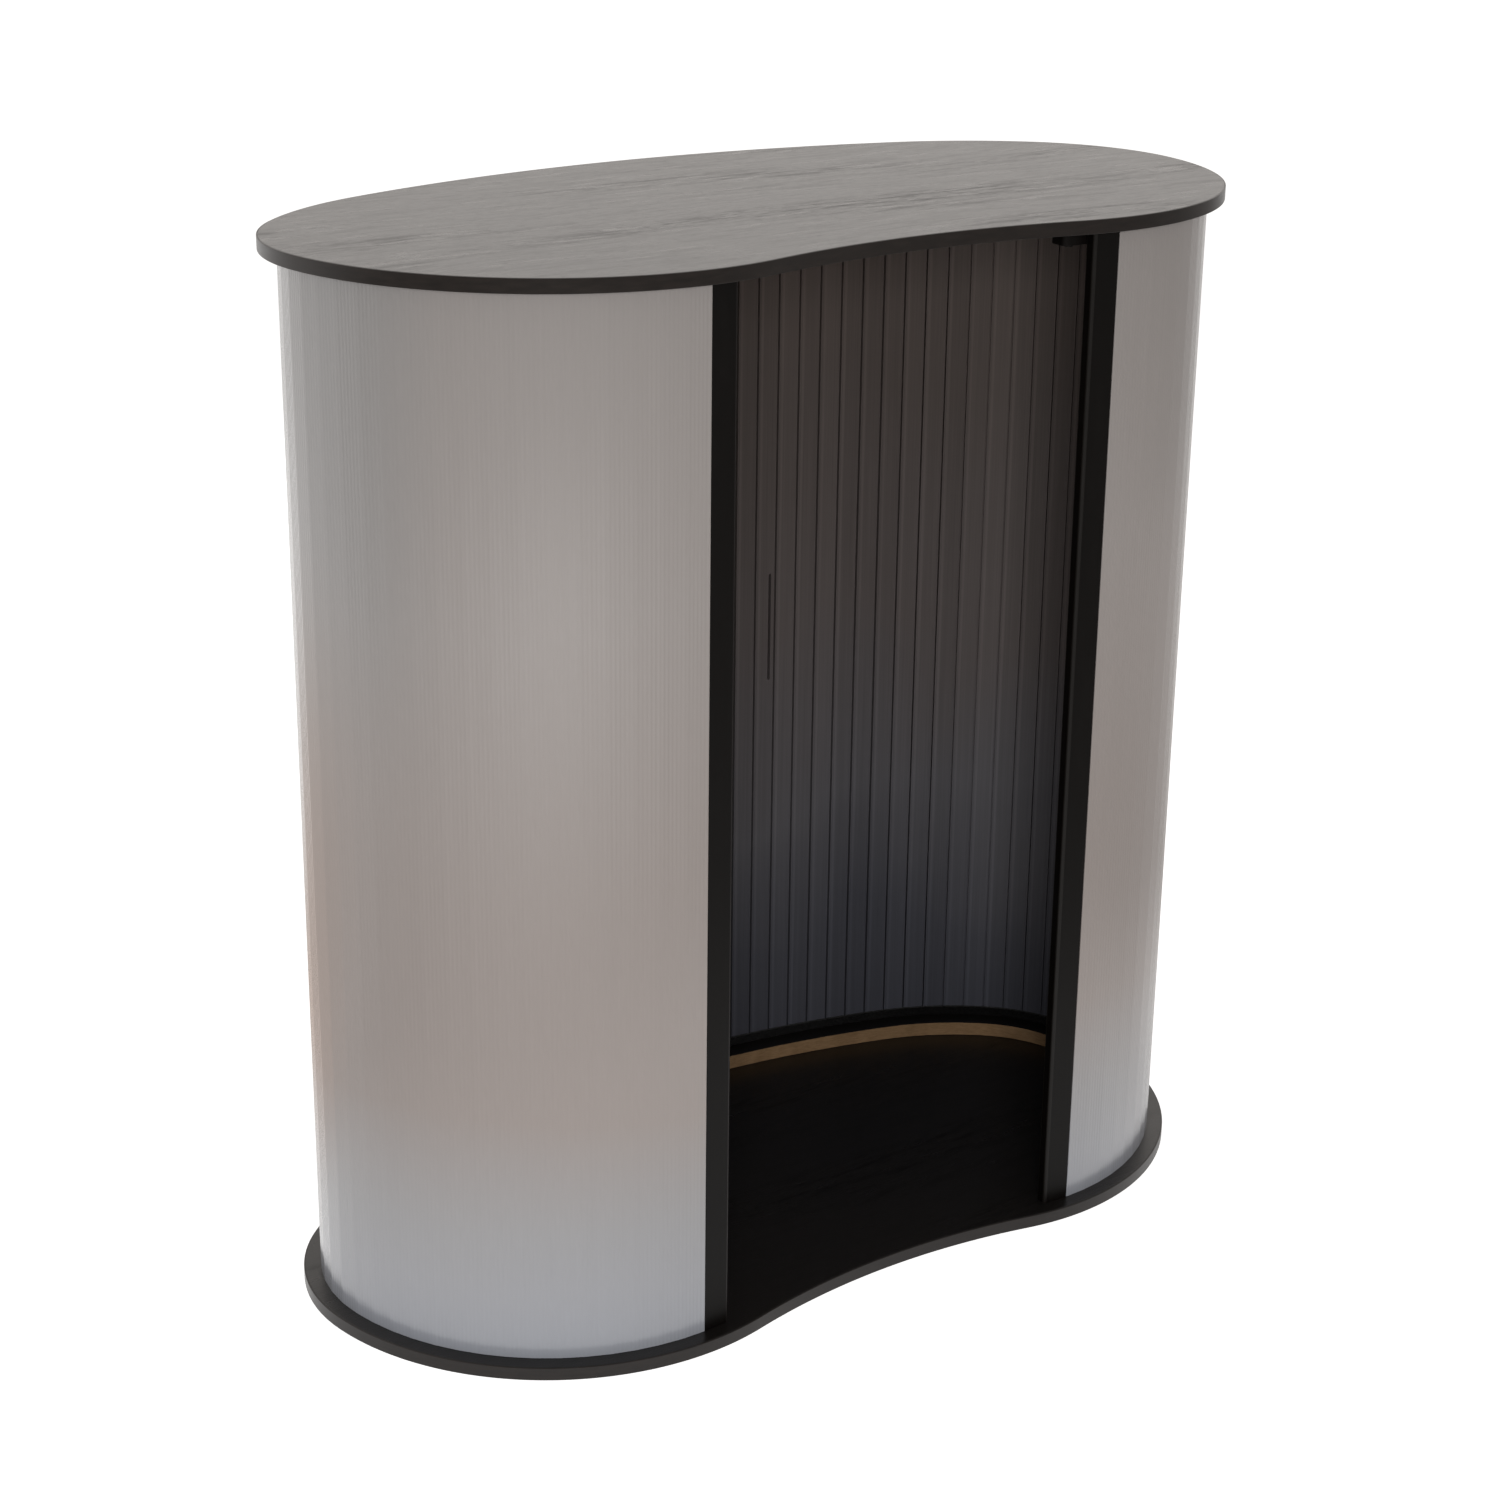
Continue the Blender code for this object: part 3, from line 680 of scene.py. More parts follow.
class Piece:
    """A piece on the bench."""

    merge_distance = 0.000004
    depth_share = 0.5  # How far a step through the wall moves the UV map along it.

    def __init__(self, name: str) -> None:
        """Name the object that an operator has just added.

        Args:
            name: Name of the piece.
        """
        self.body = bpy.context.active_object
        self.body.name = name
        self.body.data.name = name
        self.moved(self.body.matrix_world.copy())

    @classmethod
    def block(cls, name: str, low: tuple[float, ...], high: tuple[float, ...]) -> Piece:
        """Add a box between two corners.

        Args:
            name: Name of the piece.
            low: Lowest corner.
            high: Highest corner.

        Returns:
            The box.
        """
        cleared()
        middle = [(a + b) / 2 for a, b in zip(low, high)]
        size = [b - a for a, b in zip(low, high)]
        bpy.ops.mesh.primitive_cube_add(size=1.0, location=middle, scale=size)
        return cls(name)

    @classmethod
    def sheet(cls, name: str, half: float, low: float, high: float, columns: int) -> Piece:
        """Add an upright sheet of columns at Y = 0 that faces out, centred on X = 0.

        Args:
            name: Name of the piece.
            half: Half its length.
            low: Height of its foot.
            high: Height of its head.
            columns: Number of columns.

        Returns:
            The sheet.
        """
        cleared()
        bpy.ops.mesh.primitive_grid_add(x_subdivisions=columns, y_subdivisions=1, size=1.0)
        middle = Matrix.Translation((0.0, 0.0, (low + high) / 2))
        size = Matrix.Diagonal((2 * half, high - low, 1.0, 1.0))
        return cls(name).moved(middle @ Matrix.Rotation(-math.pi / 2, 4, "X") @ size)

    @classmethod
    def leaf(cls, name: str, near: float, far: float, low: float, high: float) -> Piece:
        """Add an upright leaf across the wall at X = 0, from one Y to another and from foot to head."""
        turn = Matrix.Translation((0.0, (near + far) / 2, 0.0)) @ Matrix.Rotation(math.pi / 2, 4, "Z")
        return cls.sheet(name, (far - near) / 2, low, high, 1).moved(turn)

    @classmethod
    def disc(cls, name: str, radius: float, low: float, high: float, sides: int = 32) -> Piece:
        """Add an upright cylinder about Z.

        Args:
            name: Name of the piece.
            radius: Its radius.
            low: Height of its foot.
            high: Height of its head.
            sides: Number of sides.

        Returns:
            The cylinder.
        """
        cleared()
        middle = (0.0, 0.0, (low + high) / 2)
        bpy.ops.mesh.primitive_cylinder_add(vertices=sides, radius=radius, depth=high - low, location=middle)
        return cls(name)

    def alone(self) -> None:
        """Select the piece and nothing else."""
        cleared()
        self.body.select_set(True)
        bpy.context.view_layer.objects.active = self.body

    @contextmanager
    def opened(self, kind: Pick, test: Test | None = None, rim: bool = False) -> Iterator[None]:
        """Open the piece in edit mode, with what passes a test selected.

        Args:
            kind: What to select.
            test: Test on an element's middle and its normal, or an edge's direction. None takes all.
            rim: Whether only edges of an open rim count.

        Yields:
            Nothing.
        """
        self.alone()
        bpy.ops.object.mode_set(mode="EDIT")
        bpy.ops.mesh.select_mode(type=kind.value)
        bpy.ops.mesh.select_all(action="DESELECT" if test else "SELECT")
        if test:
            shape = bmesh.from_edit_mesh(self.body.data)
            elements = getattr(shape, f"{kind.value.lower()}s")
            for element in [one for one in elements if test(*middle_and_way(one))]:
                element.select_set(not rim or element.is_boundary)
            shape.select_flush_mode()
            bmesh.update_edit_mesh(self.body.data)
        yield
        bpy.ops.object.mode_set(mode="OBJECT")

    def rounded(self, width: float, segments: int, test: Test, material: int = -1) -> Piece:
        """Round the edges that pass a test.

        Args:
            width: Width of the rounding.
            segments: Number of its facets.
            test: Test on an edge's middle and direction.
            material: Number of the material that the rounding gets, or -1 for its neighbours'.

        Returns:
            The piece.
        """
        with self.opened(Pick.EDGES, test):
            bpy.ops.mesh.bevel(
                offset=width, segments=segments, affect="EDGES", clamp_overlap=True, material=material
            )
        return self

    def trimmed(self, half: float, filled: bool) -> Piece:
        """Cut off what lies further along X than a distance, at both ends.

        Args:
            half: The distance.
            filled: Whether the cuts are closed.

        Returns:
            The piece.
        """
        for side, _ in SIDES:
            with self.opened(Pick.FACES):
                bpy.ops.mesh.bisect(
                    plane_co=(side * half, 0.0, 0.0), plane_no=(side, 0.0, 0.0),
                    clear_outer=True, use_fill=filled,
                )
        return self

    def modified(self, kind: str, settings: dict[str, object]) -> Piece:
        """Add a modifier and apply it.

        Args:
            kind: Type of modifier.
            settings: Its properties.

        Returns:
            The piece.
        """
        self.alone()
        modifier = self.body.modifiers.new(kind.title(), kind)
        for key, value in settings.items():
            setattr(modifier, key, value)
        bpy.ops.object.modifier_apply(modifier=modifier.name)
        return self

    def thickened(self, thickness: float) -> Piece:
        """Thicken a sheet inwards."""
        return self.modified("SOLIDIFY", {"thickness": thickness, "offset": -1.0})

    def scrapped(self) -> None:
        """Clear the piece off the bench."""
        bpy.data.objects.remove(self.body, do_unlink=True)

    def cut(self, cutter: Piece) -> Piece:
        """Cut another piece away from this one, and clear it off the bench.

        Args:
            cutter: Piece that cuts.

        Returns:
            The piece.
        """
        self.modified("BOOLEAN", {"operation": "DIFFERENCE", "solver": "EXACT", "object": cutter.body})
        cutter.scrapped()
        return self

    def moved(self, matrix: Matrix) -> Piece:
        """Move the piece and apply its place to its mesh.

        Args:
            matrix: Where it goes.

        Returns:
            The piece.
        """
        self.body.matrix_world = matrix
        self.alone()
        bpy.ops.object.transform_apply(location=True, rotation=True, scale=True)
        return self

    def copied(self, name: str, matrix: Matrix) -> Piece:
        """Copy the piece with its own mesh to another place.

        Args:
            name: Name of the copy.
            matrix: Where the copy goes.

        Returns:
            The copy.
        """
        self.alone()
        bpy.ops.object.duplicate(linked=False)
        return Piece(name).moved(matrix)

    def joined(self, others: list[Piece]) -> Piece:
        """Join other pieces into this one.

        Args:
            others: Pieces to take in.

        Returns:
            The piece.
        """
        self.alone()
        for other in others:
            other.body.select_set(True)
        bpy.ops.object.join()
        return self

    def tidied(self) -> Piece:
        """Merge doubles and turn the faces outwards.

        Returns:
            The piece.
        """
        with self.opened(Pick.CORNERS):
            bpy.ops.mesh.remove_doubles(threshold=self.merge_distance)
            bpy.ops.mesh.normals_make_consistent(inside=False)
        return self

    def charted(self) -> Piece:
        """Give the flat piece a UV map in metres: along the wall, and up.

        Returns:
            The piece.
        """
        mesh = self.body.data
        layer = mesh.uv_layers.active or mesh.uv_layers.new(name="flat")
        for face in mesh.polygons:
            for index in face.loop_indices:
                point = mesh.vertices[mesh.loops[index].vertex_index].co
                layer.data[index].uv = (point.x + self.depth_share * point.y, point.z)
        return self

    def dressed(self, *finishes: Material) -> Piece:
        """Give the piece its materials.

        Args:
            finishes: One material for each slot.

        Returns:
            The piece.
        """
        self.body.data.materials.clear()
        for finish in finishes:
            self.body.data.materials.append(finish)
        return self

    def fitted(self, slot: str, *nodes: str, body: str = "counter", angle: float = 32.0) -> Piece:
        """Shade the piece and fix it to the frame.

        Args:
            slot: Material slot of the record; not used.
            nodes: CAD nodes that it stands for.
            body: CAD body that carries it.
            angle: Largest angle that is shaded smooth, in degrees.

        Returns:
            The piece.
        """
        self.alone()
        bpy.ops.object.shade_smooth_by_angle(angle=math.radians(angle))
        self.modified("WEIGHTED_NORMAL", {"mode": "FACE_AREA", "weight": 60, "keep_sharp": True})
        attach(self.body, body)
        if nodes:
            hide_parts(*nodes)
        log.info("%s: %d faces", self.body.name, len(self.body.data.polygons))
        return self


# ---- Plan outline and the rolled wall ----


@dataclass(frozen=True)
class Arc:
    """One arc of the outline's right half."""

    centre: Vector
    radius: float
    start: float
    end: float

    def run(self, inset: float) -> float:
        """Length of the arc at an inset."""
        return abs(self.radius - inset) * abs(self.end - self.start)


def heading(angle: float) -> Vector:
    """Unit vector at an angle from +Y towards +X."""
    return Vector((math.sin(angle), math.cos(angle)))


@dataclass
class PlanOutline:
    """Kidney-shaped outline of both boards, made of tangent arcs."""

    bulge_radius: float = 1.050
    bulge_turn: float = math.radians(17.3)
    shoulder_radius: float = 0.308
    shoulder_turn: float = math.radians(25.7)
    end_radius: float = 0.178
    end_turn: float = math.radians(53.8)
    lobe_radius: float = 0.262
    hollow_radius: float = 0.700
    facet: float = 0.006
    arcs: list[Arc] = field(init=False)

    def __post_init__(self) -> None:
        """Chain the arcs from the front centre to the hollow's middle."""
        centre = Vector((0.0, -self.bulge_radius))
        radius = self.bulge_radius
        angle = 0.0
        chain = []
        for wide, turn in (
            (self.bulge_radius, self.bulge_turn),
            (self.shoulder_radius, self.shoulder_turn),
            (self.end_radius, self.end_turn),
        ):
            centre = centre + (radius - wide) * heading(angle)
            radius = wide
            chain.append((centre, radius, angle, angle + turn))
            angle += turn
        centre = centre + (radius - self.lobe_radius) * heading(angle)
        back = math.pi + math.asin(centre.x / (self.lobe_radius + self.hollow_radius))
        chain.append((centre, self.lobe_radius, angle, back))
        hollow = centre + (self.lobe_radius + self.hollow_radius) * heading(back)
        chain.append((hollow, -self.hollow_radius, back, math.pi))
        shift = Vector((0.0, (self.lobe_radius - centre.y) / 2))
        self.arcs = [Arc(middle + shift, wide, start, end) for middle, wide, start, end in chain]

    @property
    def front(self) -> float:
        """Y of the front centre."""
        return self.frame(0.0, 0.0)[0].y

    def half_length(self, inset: float) -> float:
        """Length of half the outline at an inset."""
        return sum(arc.run(inset) for arc in self.arcs)

    def frame(self, distance: float, inset: float) -> tuple[Vector, Vector]:
        """Find a point of the outline.

        Args:
            distance: Way from the front centre to the right, or to the left if negative.
            inset: Inset at which the way is measured.

        Returns:
            The point and its outward normal.
        """
        left = min(abs(distance), self.half_length(inset))
        for arc in self.arcs:
            run = arc.run(inset)
            angle = arc.start + (arc.end - arc.start) * min(left / run, 1.0)
            if left <= run:
                break
            left -= run
        normal = heading(angle)
        point = arc.centre + (arc.radius - inset) * normal
        side = math.copysign(1.0, distance)
        return Vector((side * point.x, point.y)), Vector((side * normal.x, normal.y))

    def turns(self, start: float, stop: float, inset: float) -> Iterator[tuple[Vector, float]]:
        """List the turns that carry a section along the outline.

        Args:
            start: Way of the section's first place from the front centre.
            stop: Way of its last place.
            inset: Inset at which the ways are measured.

        Yields:
            Centre of each turn and its angle, clockwise from above as the spin takes it.
        """
        marks = [0.0]
        for arc in self.arcs:
            marks.append(marks[-1] + arc.run(inset))
        right = list(zip(marks, marks[1:], self.arcs))
        pieces = [(-far, -near, arc, -1.0) for near, far, arc in reversed(right)]
        pieces += [(near, far, arc, 1.0) for near, far, arc in right]
        for near, far, arc, side in pieces:
            run = min(far, stop) - max(near, start)
            if run > CLOSE:
                centre = Vector((side * arc.centre.x, arc.centre.y))
                yield centre, math.copysign(run / abs(arc.radius - inset), arc.radius)

    def swept(self, piece: Piece, start: float, stop: float, inset: float) -> Piece:
        """Sweep a section that stands at the front centre, facing +Y, along the outline.

        Args:
            piece: The section, one face or one open line of edges.
            start: Way of its first place from the front centre.
            stop: Way of its last place.
            inset: Inset at which the ways are measured.

        Returns:
            The swept piece, without doubles.
        """
        point, normal = self.frame(start, inset)
        origin, _ = self.frame(0.0, inset)
        turn = math.atan2(normal.x, normal.y)
        base = Matrix.Translation((point.x, point.y, 0.0)) @ Matrix.Rotation(-turn, 4, "Z")
        piece.moved(base @ Matrix.Translation((0.0, -origin.y, 0.0)))
        with piece.opened(Pick.CORNERS):
            for centre, angle in self.turns(start, stop, inset):
                steps = max(1, round(abs(angle) * (point - centre).length / self.facet))
                bpy.ops.mesh.spin(
                    steps=steps, angle=angle, center=(centre.x, centre.y, 0.0), axis=(0.0, 0.0, 1.0)
                )
        return piece.tidied()


@dataclass
class RolledWall:
    """The wall's outer face: a flat a slat, with a post at each end."""

    outline: PlanOutline
    inset: float = 0.016
    opening: float = 0.388
    post_width: float = 0.028
    nominal_pitch: float = 0.0236
    height: float = 1.000
    board: float = 0.013
    gap: float = 0.0003
    accuracy: float = 0.000005
    foot: float = field(init=False)
    head: float = field(init=False)
    end: float = field(init=False)
    reach: float = field(init=False)
    slats: int = field(init=False)
    pitch: float = field(init=False)
    stations: list[float] = field(init=False)
    corners: list[Vector] = field(init=False)

    def __post_init__(self) -> None:
        """Set the flats out along the outline."""
        self.foot = self.board + self.gap
        self.head = self.height - self.board - self.gap
        high = self.outline.half_length(self.inset)
        low = high / 2
        while high - low > self.accuracy:
            middle = (low + high) / 2
            if self.outline.frame(middle, self.inset)[0].x > self.opening / 2:
                low = middle
            else:
                high = middle
        self.end = low
        self.reach = self.end - self.post_width
        self.slats = 2 * round(self.reach / self.nominal_pitch - 0.5) + 1
        self.pitch = 2 * self.reach / self.slats
        inner = [-self.reach + self.pitch * index for index in range(self.slats + 1)]
        self.stations = [-self.end, *inner, self.end]
        self.corners = [self.outline.frame(station, self.inset)[0] for station in self.stations]

    def inward(self, index: int) -> Vector:
        """Inward normal of a flat."""
        along = (self.corners[index + 1] - self.corners[index]).normalized()
        return Vector((along.y, -along.x))

    def rolled_point(self, flat: Vector, softness: float) -> Vector:
        """Carry a point of the flat wall to its place on the rolled one.

        Args:
            flat: Point of the flat wall.
            softness: Share of the way from the flat to the true arc.

        Returns:
            The point on the counter.
        """
        last = len(self.stations) - 2
        index = 0
        while index < last and flat.x > self.stations[index + 1] + CLOSE:
            index += 1
        start, stop = self.stations[index], self.stations[index + 1]
        point = self.corners[index].lerp(self.corners[index + 1], (flat.x - start) / (stop - start))
        into = self.inward(index)
        if index < last and abs(flat.x - stop) < CLOSE:
            middle = (into + self.inward(index + 1)).normalized()
            into = middle / middle.dot(into)
        if softness:
            point = point.lerp(self.outline.frame(flat.x, self.inset)[0], softness)
        point = point - flat.y * into
        return Vector((point.x, point.y, flat.z))

    def rolled(self, piece: Piece, softness: float = 0.0) -> Piece:
        """Roll a flat piece round the boards.

        Args:
            piece: Piece modelled on the flat wall.
            softness: Share of the way from flats to true arcs.

        Returns:
            The piece in its place.
        """
        for corner in piece.body.data.vertices:
            corner.co = self.rolled_point(corner.co, softness)
        piece.body.data.update()
        return piece

    def hung(self, piece: Piece, finish: Material, slot: str, *nodes: str) -> Piece:
        """Dress a flat piece, roll it round the boards and fix it."""
        return self.rolled(piece.charted().dressed(finish)).fitted(slot, *nodes)


# ---- Sub-assemblies ----


@dataclass
class Board:
    """A board with its edge band."""

    outline: PlanOutline
    level: str
    node: str
    bottom: float
    face: Material
    edge: Material
    thickness: float = 0.013
    rim: float = 0.004
    band: float = 0.0010
    seam: float = 0.00005
    trim: float = 0.0002
    arris: float = 0.0006

    def section(self, name: str, outer: float, inner: float, trim: float) -> Piece:
        """Stand a thin upright section at the front centre.

        Args:
            name: Name of the piece.
            outer: Inset of its outer side.
            inner: Inset of its inner side.
            trim: How far it stays below the board's face and above its underside.

        Returns:
            The section, one face.
        """
        front = self.outline.front
        low, high = self.bottom + trim, self.bottom + self.thickness - trim
        piece = Piece.leaf(name, front - inner, front - outer, low, high)
        with piece.opened(Pick.CORNERS, lambda point, _: point.y > front - (outer + inner) / 2):
            bpy.ops.mesh.bevel(offset=self.arris, segments=3, affect="VERTICES")
        return piece

    def swept_round(self, piece: Piece) -> Piece:
        """Sweep a section once round the board."""
        half = self.outline.half_length(0.0)
        return self.outline.swept(piece, -half, half, 0.0)

    def build_board(self) -> None:
        """Sweep the board's rim and fill both its faces."""
        inner = self.band + self.rim
        line = self.outline.front - inner
        piece = self.section(f"{self.level}_board", self.band + self.seam, inner, 0.0)
        with piece.opened(Pick.EDGES, lambda point, _: abs(point.y - line) < CLOSE):
            bpy.ops.mesh.delete(type="EDGE")
        self.swept_round(piece)
        for level in (self.bottom, self.bottom + self.thickness):
            with piece.opened(
                Pick.EDGES, lambda point, _, level=level: abs(point.z - level) < CLOSE, rim=True
            ):
                bpy.ops.mesh.edge_face_add()
        piece.tidied().dressed(self.face).fitted(BlackAshLaminate.slot, f"{self.node}_panel")

    def build_band(self) -> None:
        """Sweep the edge band round the board."""
        piece = self.section(f"{self.level}_rim_band", 0.0, self.band, self.trim)
        with piece.opened(Pick.FACES):
            bpy.ops.mesh.delete(type="ONLY_FACE")
        self.swept_round(piece).dressed(self.edge).fitted(BlackEdgeBand.slot, f"{self.node}_edge_band")


@dataclass
class LocatingRing:
    """A C-shaped ring that the wall is wrapped round."""

    wall: RolledWall
    level: str
    bottom: float
    edge: Material
    face: Material
    right_setback: float
    left_setback: float = 0.032
    outer: float = 0.0135
    width: float = 0.0228
    thickness: float = 0.015
    arris: float = 0.0004

    def build(self) -> None:
        """Sweep the ring, with black faces and raw edges."""
        outline, inset = self.wall.outline, self.wall.inset
        outer = outline.front - inset - self.outer
        low, high = self.bottom, self.bottom + self.thickness
        piece = Piece.leaf(f"{self.level}_locating_ring", outer - self.width, outer, low, high)
        with piece.opened(Pick.CORNERS):
            bpy.ops.mesh.bevel(offset=self.arris, segments=2, affect="VERTICES")
        outline.swept(piece, self.left_setback - self.wall.end, self.wall.end - self.right_setback, inset)
        piece.dressed(self.edge, self.face)
        for face in piece.body.data.polygons:
            face.material_index = int(abs(face.normal.z) > PARALLEL)
        piece.fitted(RawBoard.slot, f"{self.level}_ring")


@dataclass
class FixingTape:
    """Hook tape on the rings and loop tape on the slats."""

    wall: RolledWall
    finish: Material
    height: float = 0.024
    thickness: float = 0.0015
    rounding: float = 0.0003
    lip: float = 0.0103
    depths: tuple[tuple[str, float], ...] = (("loop", 0.0096), ("hook", 0.0114))

    def build(self) -> None:
        """Cut the four strips to length and roll them into place."""
        wall = self.wall
        for level, low in (("foot", wall.foot), ("head", wall.head - self.height)):
            for kind, depth in self.depths:
                name = f"{level}_{kind}"
                piece = Piece.sheet(f"{name}_strip", wall.reach, low, low + self.height, wall.slats)
                piece.trimmed(wall.reach - self.lip, False).thickened(self.thickness)
                piece.moved(Matrix.Translation((0.0, -depth, 0.0)))
                piece.rounded(self.rounding, 2, runs(0))
                wall.hung(piece, self.finish, BlackPile.slot, f"{name}_tape")


@dataclass
class RibbedSkin:
    """Silver outer sheet with six shallow ribs to each slat."""

    wall: RolledWall
    finish: Material
    ribs: int = 6
    rib_columns: int = 4
    rib_depth: float = 0.00022
    dips: tuple[tuple[float, float], ...] = ((0.0, 1.0), (0.25, 0.35), (0.75, 0.35))
    slack: float = 0.05
    thickness: float = 0.0009
    softness: float = 0.20
    smooth_angle: float = 60.0

    def build(self) -> None:
        """Press the ribs into a flat sheet, thicken it and roll it."""
        wall = self.wall
        rib = wall.pitch / self.ribs
        columns = wall.slats * self.ribs * self.rib_columns
        piece = Piece.sheet("ribbed_skin", wall.reach, wall.foot, wall.head, columns)

        def off(point: Vector, place: float) -> float:
            """Distance from the nearest such place across a rib, as a share of the rib."""
            return abs(((point.x + wall.reach) / rib - place + 0.5) % 1.0 - 0.5)

        for place, share in self.dips:
            with piece.opened(Pick.CORNERS, lambda point, _, place=place: off(point, place) < self.slack):
                bpy.ops.transform.translate(value=(0.0, -share * self.rib_depth, 0.0))
        piece.thickened(self.thickness).trimmed(wall.reach - wall.gap, True)
        wall.rolled(piece.charted().dressed(self.finish), self.softness)
        piece.fitted(SilverSkin.slot, "wrap_skin", angle=self.smooth_angle)


@dataclass
class SlatWall:
    """Slats on their backing film."""

    wall: RolledWall
    finish: Material
    gap: float = 0.0022
    thickness: float = 0.0072
    backing_depth: float = 0.0015
    backing: float = 0.0006
    seam: float = 0.0001
    rounding: float = 0.0003
    slot_from_centre: float = 0.170
    slot_width: float = 0.003
    slot_length: float = 0.117
    slot_end_share: float = 0.98
    slot_share: float = 0.72
    slot_height_share: float = 0.505
    sections: tuple[str, ...] = (
        "left_rear_slats", "left_end_slats", "front_slats", "right_end_slats", "right_rear_slats"
    )

    @property
    def slotted(self) -> int:
        """Number of the slotted slat from the left."""
        return self.wall.slats // 2 + round(self.slot_from_centre / self.wall.pitch)

    def slat(self, name: str, index: int) -> Piece:
        """Lay one slat at its place on the flat wall.

        Args:
            name: Name of the piece.
            index: Number of the slat from the left.

        Returns:
            The slat.
        """
        wall = self.wall
        left = -wall.reach + wall.pitch * index + self.gap / 2
        back = -self.backing_depth - self.backing
        low = (left, back - self.thickness, wall.foot)
        high = (left + wall.pitch - self.gap, back - self.seam, wall.head)
        middle = back - self.thickness / 2
        return Piece.block(name, low, high).rounded(
            self.rounding, 3, lambda point, along: abs(along.z) > PARALLEL and point.y < middle
        )

    def build_runs(self) -> None:
        """Lay the plain slats in the five runs of the frame."""
        wall = self.wall
        template = self.slat("slat", 0)
        for number, node in enumerate(self.sections):
            first = math.ceil(number * wall.slats / len(self.sections))
            stop = math.ceil((number + 1) * wall.slats / len(self.sections))
            copies = [
                template.copied(f"slat_{index}", Matrix.Translation((index * wall.pitch, 0.0, 0.0)))
                for index in range(first, stop) if index != self.slotted
            ]
            run = copies[0].joined(copies[1:])
            run.body.name = f"{node}_run"
            wall.hung(run, self.finish, DarkSlat.slot, node)
        template.scrapped()

    def build_slotted(self) -> None:
        """Lay the slat with the narrow upright slot."""
        wall = self.wall
        piece = self.slat("slotted_slat_strip", self.slotted)
        across = -wall.reach + wall.pitch * (self.slotted + self.slot_share)
        up = wall.foot + self.slot_height_share * (wall.head - wall.foot)
        half, tall = self.slot_width / 2, self.slot_length / 2
        low, high = (across - half, -2 * OVERSHOOT, up - tall), (across + half, OVERSHOOT, up + tall)
        piece.cut(Piece.block("slot", low, high).rounded(half * self.slot_end_share, 6, runs(1)))
        wall.hung(piece, self.finish, DarkSlat.slot, "slotted_slat")

    def build_backing(self) -> None:
        """Lay the backing film behind the skin."""
        wall = self.wall
        piece = Piece.sheet("slat_backing", wall.reach, wall.foot, wall.head, wall.slats)
        piece.thickened(self.backing).moved(Matrix.Translation((0.0, -self.backing_depth, 0.0)))
        wall.hung(piece, self.finish, DarkSlat.slot)


@dataclass
class EndPost:
    """Upright profile at one end of the wall, with a lip behind the first slat and a painted edge highlight.
    """

    wall: RolledWall
    side: float
    name: str
    finish: Material
    painted_arris_highlight: Material
    depth: float = 0.0131
    lip: float = 0.010
    lip_depth: float = 0.0096
    rounding: float = 0.003
    seam_rounding: float = 0.001

    def build(self) -> None:
        """Shape the profile flat and turn it to the wall."""
        wall = self.wall
        seam, opening = self.side * wall.reach, self.side * wall.end
        low = (min(seam, opening), -self.depth, wall.foot)
        piece = Piece.block(f"{self.name}_end_post", low, (max(seam, opening), 0.0, wall.head))
        with piece.opened(Pick.FACES):
            bpy.ops.mesh.bisect(plane_co=(0.0, -self.lip_depth, 0.0), plane_no=(0.0, 1.0, 0.0))
        with piece.opened(
            Pick.FACES, lambda point, _: abs(point.x - seam) < CLOSE and point.y < -self.lip_depth
        ):
            out = (-self.side * self.lip, 0.0, 0.0)
            bpy.ops.mesh.extrude_region_move(TRANSFORM_OT_translate={"value": out})
        piece.dressed(self.finish, self.painted_arris_highlight)

        def upright(point: Vector, along: Vector, place: float) -> bool:
            """Whether an edge is upright, at a place along the wall."""
            return abs(along.z) > PARALLEL and abs(point.x - place) < CLOSE

        piece.rounded(
            self.seam_rounding, 3, lambda point, along: upright(point, along, seam) and point.y > -CLOSE
        )
        # The opening edge's rounding takes the second finish, whose lighter colour is a painted highlight
        # along the arris.
        piece.rounded(
            self.rounding, 5,
            lambda point, along: upright(point, along, opening) and abs(point.y + self.lip_depth) > CLOSE,
            material=1,
        )
        wall.rolled(piece).fitted(BlackProfile.slot, f"{self.name}_post")


class Head(Enum):
    """Heads of the screws."""

    PAN = "pan"
    COUNTERSUNK = "countersunk"


@dataclass
class Screw:
    """A screw that points up, with a cross recess in its head."""

    head: Head
    head_radius: float
    head_depth: float
    shank_radius: float
    length: float
    dome_share: float = 0.62
    arm_share: float = 0.58
    web_share: float = 0.13
    recess_share: float = 0.55
    recess_taper: float = 0.7
    recess_lead: float = 0.001

    def template(self) -> Piece:
        """Shape the screw at the origin.

        Returns:
            The screw, with the seat of its pan head or the face of its flat one at Z = 0.
        """
        sunk = self.head is Head.COUNTERSUNK
        low, high = (0.0, self.head_depth) if sunk else (-self.head_depth, 0.0)
        piece = Piece.disc("screw", self.head_radius, low, high)
        with piece.opened(Pick.FACES, looks_up):
            share = self.shank_radius / self.head_radius
            if sunk:
                bpy.ops.transform.resize(value=(share, share, 1.0))
            else:
                bpy.ops.mesh.inset(thickness=self.head_radius - self.shank_radius)
            rise = (0.0, 0.0, self.length - high)
            bpy.ops.mesh.extrude_region_move(TRANSFORM_OT_translate={"value": rise})
        if not sunk:
            piece.rounded(
                self.dome_share * self.head_depth, 5,
                lambda point, along: abs(point.z - low) < CLOSE and level_edge(point, along),
            )
        arm, web = self.arm_share * self.head_radius, self.web_share * self.head_radius
        for wide, deep in ((arm, web), (web, arm)):
            top = low + self.recess_share * self.head_depth
            cutter = Piece.block("recess", (-wide, -deep, low - self.recess_lead), (wide, deep, top))
            with cutter.opened(Pick.FACES, looks_up):
                bpy.ops.transform.resize(value=(self.recess_taper, self.recess_taper, 1.0))
            piece.cut(cutter)
        return piece


